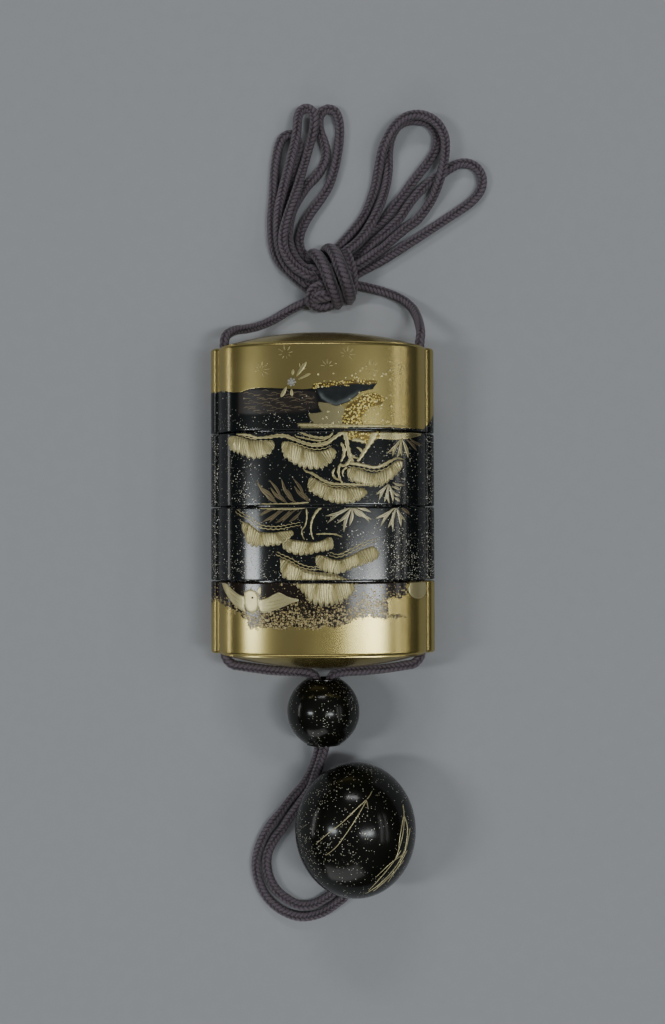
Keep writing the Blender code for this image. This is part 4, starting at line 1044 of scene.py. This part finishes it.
def polygon_reach(x, y, corners):
    """Distance inside a polygon, above 0 inside it and below 0 outside."""
    corners = np.asarray(corners, dtype=float)
    nearest = np.full(x.shape, 1e9)
    inside = np.zeros(x.shape, dtype=bool)
    for (ax, ay), (bx, by) in zip(corners, np.roll(corners, -1, axis=0)):
        length = (bx - ax) ** 2 + (by - ay) ** 2
        share = np.clip(((x - ax) * (bx - ax) + (y - ay) * (by - ay)) / length, 0, 1)
        nearest = np.minimum(nearest, np.hypot(x - ax - share * (bx - ax), y - ay - share * (by - ay)))
        crosses = ((ay > y) != (by > y)) & (x < (bx - ax) * (y - ay) / (by - ay + 1e-12) + ax)
        inside ^= crosses
    return np.where(inside, nearest, -nearest)


def step_between(value, low, high):
    share = np.clip((value - low) / (high - low), 0, 1)
    return share * share * (3 - 2 * share)


def hump(value, middle, width):
    return np.exp(-((value - middle) / width) ** 2)


def paint_ground(mesh):
    """Give each point of a tier what the ground's material needs to know of its place."""
    points = np.empty(len(mesh.vertices) * 3, dtype=np.float32)
    mesh.vertices.foreach_get("co", points)
    points = points.reshape(-1, 3) / MM
    x, y, z = points[:, 0], points[:, 1], points[:, 2]
    front = z > AXIS_HEIGHT - BELOW_AXIS

    def within(outline, low, high):
        return step_between(polygon_reach(x, y, outline), low, high)

    black = np.maximum(polygon_reach(x, y, GROUND_BLACK), polygon_reach(x, y, CORNER_BLACK))
    trunk = np.maximum(polygon_reach(x, y, TRUNK_GOLD), polygon_reach(x, y, RIM_GOLD))
    gold = np.where(front, np.maximum(-black, trunk), -black)

    # Flakes: thick towards the lid's end, thin and in soft clouds on the tiers, thinnest on the base
    dense = 0.06 + 0.80 * step_between(y, 6.0 + 0.12 * np.clip(x, 0, 20), -3.4)
    dense += 0.25 * step_between(x, 6, 12) * step_between(y, 7.5, 2)
    sparse = 0.03 + 0.09 * hump(x, -18.5, 2.8) + 0.09 * hump(x, 19.0, 3.2)
    sparse += 0.20 * hump(np.abs(x), 27.2, 1.0)
    sparse += 0.06 * step_between(y, 18, 9) + 0.10 * step_between(x, 3, 8) * step_between(y, 23, 17)
    sparse = np.where(y > BASE_FROM, 0.012 + 0.04 * step_between(y, 51.0, 48.5), sparse)
    flakes = np.where(y < LID_TO, dense, sparse)

    # Big bright flakes: a patch, the trunk's top, the edge over the cloud and the base's low edge
    bright = np.maximum(within(BRIGHT_PATCH, -0.7, 0.7), 0.85 * within(TRUNK_GOLD, -0.4, 0.6))
    edge = hump(y, 56.4 + 0.10 * np.clip(x, -3, 8), 0.55)
    edge *= step_between(x, -3.5, -1) * step_between(x, 14.5, 12.5)
    low_edge = 0.35 * step_between(y, 48.5, 46.5) * step_between(x, 4, 6) * step_between(x, 20, 15)
    bright = np.maximum(np.maximum(bright, 0.95 * edge), low_edge * (y > BASE_FROM))

    cloud = within(CLOUD, -0.1, 0.5)
    cloud_edge = cloud * within(CLOUD, 1.5, 0.2) * step_between(y, 55.6, 53.8)
    bank = np.maximum(within(BANK, -0.1, 0.1), within(RIM_GOLD, -0.1, 0.2))
    dots = step_between(x, -7, 4) * step_between(x, 20, 15) * step_between(y, 63, 58.5) * (y > BASE_FROM)
    brown = within(NET_BROWN, -0.3, 0.8)
    on_front = [np.where(front, values, 0.0) for values in (bright, cloud, cloud_edge, bank, dots, brown)]
    lid_side = step_between(y, LID_TO, LID_TO - 0.1)
    for name, values in zip(GROUND_VALUES, [gold, flakes, *on_front, lid_side]):
        put_values(mesh, name, values)


def on_face(points, lift):
    """Points across and along the case, set on its front face with a small lift."""
    points = np.asarray(points, dtype=float)
    x = points[..., 0]
    share = np.clip(np.abs(x) / BODY_HALF_WIDTH, 0, FACE_LIMIT)
    rest = 1 - share ** BODY_SQUARENESS
    body = BODY_HALF_DEPTH * rest ** (1 / BODY_SQUARENESS)
    slope = (-BODY_HALF_DEPTH / BODY_HALF_WIDTH * share ** (BODY_SQUARENESS - 1)
             * rest ** (1 / BODY_SQUARENESS - 1)) * np.sign(x)
    size = np.sqrt(1 + slope ** 2)
    return np.stack([x - slope / size * lift, points[..., 1], AXIS_HEIGHT + body + lift / size], axis=-1)


def even_line(points, count):
    """A smooth line through flat points, with even spacing."""
    line, _ = smooth_line([(px, py, 0.0) for px, py in points], 0.1)
    return even_points(line[:, :2], count)


class Inlay:
    """Raised shapes on a surface, gathered into one mesh."""

    def __init__(self, low, high, surface):
        self.low = low + RIM_MARGIN
        self.high = high - RIM_MARGIN
        self.surface = surface
        self.points = []
        self.faces = []
        self.values = {name: [] for name in RELIEF_VALUES}
        self.count = 0

    def add(self, grid, lift, tone=0.0, needle=0.0, reach=0.0, shade=0.0, filled=False):
        """A raised skin over a grid of points, closed down at its edges; a filled one has one edge."""
        grid = np.array(grid, dtype=float)
        if grid[..., 1].max() < self.low or grid[..., 1].min() > self.high:
            return
        grid[..., 1] = np.clip(grid[..., 1], self.low, self.high)
        rows, columns = grid.shape[:2]
        lift = np.array(np.broadcast_to(lift, (rows, columns)), dtype=float)
        lift[0] = -EDGE_SINK
        if not filled:
            lift[-1] = lift[:, 0] = lift[:, -1] = -EDGE_SINK
        index = np.arange(rows * columns).reshape(rows, columns) + self.count
        self.points.append(self.surface(grid, lift).reshape(-1, 3))
        self.faces.append(np.stack([index[:-1, :-1], index[:-1, 1:], index[1:, 1:], index[1:, :-1]],
                                   -1).reshape(-1, 4))
        self.count += rows * columns
        for name, value in zip(RELIEF_VALUES, (tone, needle, reach, shade)):
            self.values[name].append(np.broadcast_to(value, (rows, columns)).reshape(-1))

    def finish(self, name, material, slot):
        mesh = bpy.data.meshes.new(name)
        mesh.from_pydata([tuple(p) for p in np.vstack(self.points) * MM], [], np.vstack(self.faces).tolist())
        for key, value in self.values.items():
            put_values(mesh, key, np.concatenate(value))
        shape = bmesh.new()
        shape.from_mesh(mesh)
        bmesh.ops.reverse_faces(shape, faces=[face for face in shape.faces if face.normal.z < 0])
        bmesh.ops.dissolve_degenerate(shape, dist=1e-7, edges=shape.edges)
        shape.to_mesh(mesh)
        shape.free()
        mesh.shade_smooth()
        piece = linked(name, mesh, material)
        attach(piece, "root")


def add_pine(inlay, upper, lower, seed):
    """A cluster of lobes, each a fan of needles that spreads from the cluster's upper edge."""
    rng = np.random.default_rng(seed)
    length = step_lengths(lower).sum()
    lobes = max(LEAST_LOBES, round(length / LOBE_WIDTH))
    columns = lobes * LOBE_COLUMNS + 1
    bounds = np.cumsum(np.concatenate([[0], rng.uniform(0.75, 1.25, lobes)]))
    bounds /= bounds[-1]

    # Each column's place along the cluster, along its lobe from -1 to 1, and where its needles start
    number = np.minimum(np.arange(columns) // LOBE_COLUMNS, lobes - 1)
    local = (np.arange(columns) - number * LOBE_COLUMNS) / LOBE_COLUMNS * 2 - 1
    spread = bounds[number] + (local + 1) / 2 * (bounds[number + 1] - bounds[number])
    gathered = 0.5 + 0.82 * (spread - 0.5) + 0.05 * np.sin(2 * math.pi * spread * lobes / 3.5)
    places = np.linspace(0, 1, EDGE_POINTS)
    top_line = even_line(upper, EDGE_POINTS)
    bottom_line = even_line(lower, EDGE_POINTS)
    top = np.stack([np.interp(gathered, places, top_line[:, axis]) for axis in (0, 1)], 1)
    bottom = np.stack([np.interp(spread, places, bottom_line[:, axis]) for axis in (0, 1)], 1)

    down = np.linspace(0, 1, PINE_ROWS)[:, None]
    needle = (spread * length / NEEDLE_PITCH)[None] * np.ones((PINE_ROWS, 1))
    scallop = np.sqrt(np.clip(1 - (0.96 * local) ** 2, 0, 1))
    tips = 0.5 + 0.5 * np.cos(2 * math.pi * needle[0])
    ends = np.clip(1 - np.abs(2 * spread - 1) ** 12, 0.02, 1) ** 0.5
    reach = down * (ends * (0.80 + 0.22 * scallop + 0.03 * tips))[None]
    grid = top[None] * (1 - reach[..., None]) + bottom[None] * reach[..., None]
    swell = np.sin(math.pi * np.clip(down * 0.86 + 0.12, 0, 1)) ** 0.5
    valley = np.abs(local)[None] ** 12 * np.ones((PINE_ROWS, 1))
    lift = 0.06 + swell * (0.24 - 0.05 * valley) + 0.035 * np.cos(2 * math.pi * needle) * swell
    # Painted shade in the valleys between the lobes, and darker towards the cluster's upper edge
    shade = np.maximum(0.32 * valley * down, 0.6 * (1 - down) ** 3)
    inlay.add(grid, lift, 0.0, needle, down * np.ones((1, columns)), shade)


def add_stroke(inlay, points, widths, tone, lift=0.10, round_start=True, vein=0.0, knots=0.0):
    """A brush stroke along a line, with a width at each of its points."""
    length = step_lengths(points).sum()
    count = max(STROKE_LEAST, int(length / STROKE_STEP))
    line = even_line(points, count) if len(points) > 2 else np.linspace(points[0], points[1], count)
    share = np.linspace(0, 1, count)
    width = np.interp(share, np.linspace(0, 1, len(widths)), widths)
    along = share * length
    width = width * (1 + knots * (0.6 * np.sin(4.6 * along + points[0][0]) + 0.4 * np.sin(9.7 * along)))
    if round_start:
        width = width * np.sqrt(np.clip(np.minimum(share, 1 - share) * length / STROKE_END, 0.02, 1))
    ahead = np.gradient(line, axis=0)
    ahead /= np.linalg.norm(ahead, axis=1)[:, None] + 1e-9
    across = np.stack([-ahead[:, 1], ahead[:, 0]], 1)
    shares = np.array(STROKE_SHARES)
    grid = line[None] + across[None] * (width[None, :] * shares[:, None])[:, :, None]
    crown = np.cos(math.pi * shares)[:, None] * np.ones(count)[None]
    shade = vein * (np.abs(shares) < 0.1)[:, None] * np.ones(count)[None]
    inlay.add(grid, 0.04 + lift * crown - 0.05 * shade, tone, 0.0, 0.5, shade)


def add_spray(inlay, starts, tips, width, tone):
    for index, tip in enumerate(tips):
        start = starts[index % len(starts)]
        bend = 0.07 if index % 2 else -0.06
        middle = ((start[0] + tip[0]) / 2 + bend * (tip[1] - start[1]),
                  (start[1] + tip[1]) / 2 - bend * (tip[0] - start[0]))
        widths = (0.12, 0.40 * width, 0.74 * width, 0.86 * width, 0.52 * width, 0.05)
        add_stroke(inlay, (start, middle, tip), widths, tone, round_start=False, vein=0.9)


def add_twig(inlay, points):
    """A pair of thin lines that part and meet, like a knotted branch."""
    line = even_line(points, TWIG_POINTS)
    ahead = np.gradient(line, axis=0)
    ahead /= np.linalg.norm(ahead, axis=1)[:, None]
    across = np.stack([-ahead[:, 1], ahead[:, 0]], 1)
    length = step_lengths(line).sum()
    wave = np.abs(np.sin(math.pi * np.linspace(0, 1, TWIG_POINTS) * length / TWIG_KNOT_PITCH)) ** 0.7
    for side in (-1, 1):
        shifted = line + across * (side * (TWIG_GAP + TWIG_SWELL * wave))[:, None]
        add_stroke(inlay, shifted, (0.16, 0.26, 0.24, 0.14), 0.0, lift=0.09)


def add_blob(inlay, corners, tone, lift, shade=0.0):
    """A filled shape, as rings from its outline to its middle."""
    corners = np.asarray(corners, dtype=float)
    outline, _ = smooth_line([(px, py, 0.0) for px, py in list(corners) + [corners[0]]], BLOB_STEP)
    middle = corners.mean(axis=0)
    shares, heights = np.array(BLOB_RINGS).T
    grid = middle + (outline[:, :2] - middle)[None] * shares[:, None, None]
    crown = heights[:, None] * np.ones(len(outline))[None]
    inlay.add(grid, 0.03 + lift * crown, tone, 0.0, np.broadcast_to(shares[:, None], crown.shape), shade,
              filled=True)


def disc(x, y, radius, count=24):
    return [(x + radius * math.cos(turn), y + radius * math.sin(turn)) for turn in full_turn(count)]


def add_waves(inlay):
    """Rows of crossing ripples on the black ground, as a stylised sea."""
    for row in range(WAVE_ROWS):
        level = WAVE_LOW + WAVE_PITCH * row
        for start in np.arange(-19.6, -1.4, WAVE_STEP) + WAVE_STEP / 2 * (row % 2):
            span = 2.2 + 0.4 * math.sin(2.3 * row + start)
            x = np.linspace(start, start + span, 6)
            rise = 0.42 * np.sin(math.pi * (x - start) / span)
            y = level + rise * (1 if (row + int(start)) % 3 else -0.6) + 0.35 * math.sin(1.7 * start + row)
            if polygon_reach(x, y, NET_BROWN).min() < 0.25:
                continue
            add_stroke(inlay, np.stack([x, y], 1), (0.06, 0.17, 0.17, 0.06), 1.15, lift=0.03)


def add_burst(inlay, burst):
    x, y, near, far, first, last, count = burst
    for index, turn in enumerate(np.radians(np.linspace(first, last, count))):
        reach = far * (0.8 + 0.2 * math.sin(7 * index))
        start = (x + near * math.cos(turn), y + near * math.sin(turn))
        end = (x + reach * math.cos(turn), y + reach * math.sin(turn))
        add_stroke(inlay, (start, end), (0.10, 0.22, 0.08), 0.0, lift=0.05)


def add_flower(inlay):
    for x0, y0, x1, y1, width in PETALS:
        add_stroke(inlay, ((x0, y0), (x1, y1)), (0.2, 0.6 * width, 0.8 * width, 0.8 * width, 0.2), 0.0,
                   lift=0.12, vein=0.5)
    x, y = FLOWER
    for turn in np.linspace(0, 2 * math.pi, 8)[:-1]:
        add_blob(inlay, disc(x + 0.8 * math.cos(turn), y + 0.8 * math.sin(turn), 0.3), -0.7, 0.12)
    add_blob(inlay, disc(x, y, 0.55), -1.0, 0.2)


def add_bird(inlay):
    add_blob(inlay, BIRD_WING, 0.1, 0.12, shade=0.2)
    add_blob(inlay, BIRD_TAIL, 0.1, 0.12, shade=0.15)
    for feather in FEATHERS:
        add_stroke(inlay, feather, (0.08, 0.2, 0.16, 0.06), 1.2, lift=0.14)
    add_blob(inlay, BIRD_CREST, 0.0, 0.1)
    add_blob(inlay, BIRD_BODY, 0.05, 0.15)
    add_blob(inlay, disc(*BIRD_EYE), 2.0, 0.32)


def build_inlay(node, high, low, material):
    inlay = Inlay(low, high, on_face)
    for starts, tips, width, tone in SPRAYS:
        add_spray(inlay, starts, tips, width, tone)
    for points, widths in TRUNKS:
        add_stroke(inlay, points, widths, 0.12, lift=0.12, vein=0.45, knots=0.35)
    for index, (upper, lower) in enumerate(PINES):
        add_pine(inlay, upper, lower, index)
    for points in TWIGS:
        add_twig(inlay, points)
    if node == "base_case":
        add_waves(inlay)
        for burst in BURSTS:
            add_burst(inlay, burst)
        add_flower(inlay)
    if node == "lid":
        add_bird(inlay)
        add_blob(inlay, disc(*SUN, 40), 0.35, 0.05)
    inlay.finish(f"{node}_maki_e", material, "gold_lacquer")


# The bead
def bead_profile():
    """The bead's outline right round, as radius and place along its bore."""
    rim_turn = math.asin(BEAD_HALF / BEAD_POLE)
    rim = max(BEAD_RADIUS * math.cos(rim_turn), BEAD_HOLE + BEAD_MOUTH)
    turns = [rim_turn - 2 * rim_turn * step / BEAD_STEPS for step in range(BEAD_STEPS + 1)]
    profile = [(max(rim, BEAD_RADIUS * math.cos(turn)), BEAD_POLE * math.sin(turn)) for turn in turns]
    turns = [math.pi / 2 * step / MOUTH_STEPS for step in range(1, MOUTH_STEPS + 1)]
    mouth = [(BEAD_HOLE + BEAD_MOUTH * (1 - math.sin(turn)), BEAD_HALF - BEAD_MOUTH * (1 - math.cos(turn)))
             for turn in turns]
    profile += [(radius, -along) for radius, along in mouth]
    profile += mouth[::-1]
    return profile + profile[:1]


def build_bead(material):
    turns = full_turn(BEAD_SIDES)
    height = BEAD_RADIUS - BEAD_FLAT
    rings = []
    for radius, along in bead_profile():
        rings.append(np.stack([radius * np.cos(turns), np.full(BEAD_SIDES, BEAD_CENTRE + along),
                               height + np.maximum(radius * np.sin(turns), -height)], 1))
    mesh = ring_stack("ojime_bead_lacquer", rings, caps=False)
    shape = bmesh.new()
    shape.from_mesh(mesh)
    bmesh.ops.remove_doubles(shape, verts=shape.verts, dist=1e-6)
    bmesh.ops.recalc_face_normals(shape, faces=shape.faces)
    shape.to_mesh(mesh)
    shape.free()
    mesh.shade_smooth()
    mesh.set_sharp_from_angle(angle=math.radians(BEAD_SHARP_ANGLE))
    piece = linked("ojime_bead_lacquer", mesh, material)
    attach(piece, "root")
    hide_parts("ojime_bead")


# The netsuke
def netsuke_surface(aim):
    """The point where a line from the netsuke's middle leaves it."""
    scale = math.sqrt(sum((part / half) ** 2 for part, half in zip(aim, TOGGLE_SIZES)))
    return Vector(TOGGLE_CENTRE) + Vector(aim) / scale


def hole_cutter(start, end, radius):
    direction = (end - start).normalized()
    side = direction.cross(Vector((1.0, 0.0, 0.0))).normalized()
    other = direction.cross(side)
    turns = full_turn(HOLE_SIDES)
    rings = [[tuple(place + side * (radius * math.cos(turn)) + other * (radius * math.sin(turn)))
              for turn in turns] for place in (start, end)]
    return linked("hole_cutter", outward(ring_stack("hole", rings)))


def build_netsuke(material):
    turns = full_turn(NETSUKE_SIDES)
    rings = []
    for slant in np.linspace(POLE_SLANT, math.pi - POLE_SLANT, NETSUKE_ROWS):
        rings.append(np.stack([
            TOGGLE_CENTRE[0] + TOGGLE_SIZES[0] * math.sin(slant) * np.cos(turns),
            TOGGLE_CENTRE[1] + TOGGLE_SIZES[1] * math.sin(slant) * np.sin(turns),
            np.full(NETSUKE_SIDES, max(0.0, TOGGLE_CENTRE[2] + TOGGLE_SIZES[2] * math.cos(slant)))], 1))
    body = linked("netsuke_uncut", outward(ring_stack("netsuke_lacquer", rings)))
    run = Vector(TOGGLE_HOLE_RUN).normalized()
    mouth = netsuke_surface(TOGGLE_HOLE_AIM)
    bottom = mouth + run * TOGGLE_HOLE_DEPTH
    vent = netsuke_surface(VENT_AIM)
    away = (vent - bottom).normalized()
    cutters = [hole_cutter(mouth - run * TOGGLE_HOLE_DEPTH, bottom, TOGGLE_HOLE_RADIUS),
               hole_cutter(vent + away * VENT_PAST, bottom + away * VENT_RADIUS, VENT_RADIUS)]
    piece = linked("netsuke_lacquer", cut_away("netsuke_lacquer", body, cutters), material)
    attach(piece, "root")
    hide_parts("netsuke")


# The gold pine needles on the netsuke: points across and along it from its centre, and their width
NETSUKE_NEEDLES = (
    ((4.0, 11.8), (3.2, 10.6), (2.4, 9.9)),
    ((2.5, 10.0), (-0.2, 7.8), (-4.0, 4.4), (-7.0, 2.0), (-10.0, -1.0)),
    ((2.6, 9.9), (0.8, 7.2), (-2.2, 2.8), (-5.0, -1.0), (-7.6, -3.4)),
    ((2.5, 9.9), (2.7, 8.8), (2.9, 7.8)),
    ((11.6, 7.8), (11.8, 5.4), (11.5, 1.8), (10.5, -2.0), (9.3, -5.2)),
    ((11.8, 5.4), (12.6, 2.4), (12.3, -1.2), (11.4, -4.4)),
    ((11.8, 5.6), (10.9, 2.0), (10.2, -2.6)),
    ((13.4, 2.0), (12.4, -1.6), (9.8, -6.6), (6.0, -10.6), (2.4, -13.6)),
    ((11.0, -2.6), (8.6, -5.8), (5.4, -9.6), (2.8, -12.8)),
    ((13.0, 0.2), (11.8, -3.6), (8.6, -8.0), (4.8, -12.0)),
    ((12.4, -3.4), (8.2, -5.6), (4.6, -8.8)),
    ((12.6, -3.2), (10.2, -7.0), (7.6, -11.0)),
    ((11.8, -5.6), (8.2, -9.2), (4.0, -13.2)),
)
NEEDLE_WIDTH = 0.22
NETSUKE_REACH = 90.0


def on_netsuke(points, lift):
    """Points across and along the netsuke, set on its top with a small lift."""
    points = np.asarray(points, dtype=float)
    a, b, c = TOGGLE_SIZES
    x, y = points[..., 0], points[..., 1]
    height = np.sqrt(np.clip(1 - (x / a) ** 2 - (y / b) ** 2, 0.02, 1))
    flat = np.stack([x, y, c * height], axis=-1)
    away = np.stack([x / a ** 2, y / b ** 2, height / c], axis=-1)
    away /= np.linalg.norm(away, axis=-1, keepdims=True)
    return flat + np.asarray(TOGGLE_CENTRE) + away * np.asarray(lift)[..., None]


def build_needles(material):
    inlay = Inlay(-NETSUKE_REACH, NETSUKE_REACH, on_netsuke)
    widths = (NEEDLE_WIDTH, NEEDLE_WIDTH, NEEDLE_WIDTH, 0.4 * NEEDLE_WIDTH)
    for points in NETSUKE_NEEDLES:
        add_stroke(inlay, points, widths, -0.35, lift=0.05)
    inlay.finish("netsuke_maki_e", material, "gold_lacquer")


# The floor and lights
def build_stage():
    n = Nodes("floor")
    speckle = n.noise(300.0)
    n.finish(n.mix(speckle, (0.42, 0.43, 0.45), (0.45, 0.46, 0.48)), 0.9)
    sides = ((-1, -1), (1, -1), (1, 1), (-1, 1))
    corners = [(x * STAGE_REACH, y * STAGE_REACH, -STAGE_DROP) for x, y in sides]
    mesh = make_mesh("floor", corners, [(0, 1, 2, 3)])
    floor = linked("floor", mesh, n.material)


def lamp(name, place, target, size, power, colour=(1.0, 1.0, 1.0)):
    """A soft panel; size is its width across the case and its length along it."""
    data = bpy.data.lights.new(name, "AREA")
    data.shape = "RECTANGLE"
    data.size = size[0] * MM
    data.size_y = size[1] * MM
    data.energy = power
    data.color = colour
    item = bpy.data.objects.new(name, data)
    bpy.context.scene.collection.objects.link(item)
    back = (Vector(place) - Vector(target)).normalized()
    across = Vector((0.0, 1.0, 0.0)).cross(back).normalized()
    item.matrix_world = Matrix.Translation(Vector(place) * MM) @ Matrix(
        (across, back.cross(across), back)).transposed().to_4x4()
    return item


def build_lights():
    centre = (0.0, 20.0, 10.0)
    lamp("left_window", (-656, -19, 765), centre, (250, 82), 1.6, (0.93, 0.98, 1.0))
    lamp("left_rib", (-960, 40, 120), centre, (60, 500), 0.5)
    lamp("right_strip_high", (716, 20, 700), centre, (45, 600), 0.35)
    lamp("right_strip_low", (830, 20, 560), centre, (30, 600), 0.25)
    lamp("foot_window", (350, -58, 935), (20.0, -10.0, 10.0), (400, 110), 1.5, (0.95, 0.99, 1.0))
    lamp("foot_core", (390, -62, 920), (20.0, -10.0, 10.0), (170, 70), 0.6, (0.95, 0.99, 1.0))
    lamp("head_panel", (-100, 850, 640), centre, (380, 90), 1.3)
    lamp("foot_panel", (-260, -950, 400), centre, (1000, 420), 1.9)
    world = bpy.data.worlds.new("world")
    world.use_nodes = True
    nodes = world.node_tree.nodes
    links = world.node_tree.links
    place = nodes.new("ShaderNodeTexCoord")
    split = nodes.new("ShaderNodeSeparateXYZ")
    ramp = nodes.new("ShaderNodeMapRange")
    links.new(place.outputs["Generated"], split.inputs[0])
    links.new(split.outputs["Z"], ramp.inputs["Value"])
    for key, value in (("From Min", 0.3), ("From Max", 0.9), ("To Min", 0.03), ("To Max", 0.15)):
        ramp.inputs[key].default_value = value
    links.new(ramp.outputs["Result"], nodes["Background"].inputs["Strength"])
    nodes["Background"].inputs["Color"].default_value = (0.97, 1.0, 1.02, 1.0)
    bpy.context.scene.world = world


silk = silk_material()
cords = build_cords(silk)
build_knot(silk)
raised_gold = maki_e_relief()
build_case(maki_e_ground(), raised_gold)
build_bead(nashiji_black("bead_black", -0.012, 0.012))
build_netsuke(nashiji_black("netsuke_black", 0.024, -0.008))
build_needles(raised_gold)
build_stage()
build_lights()
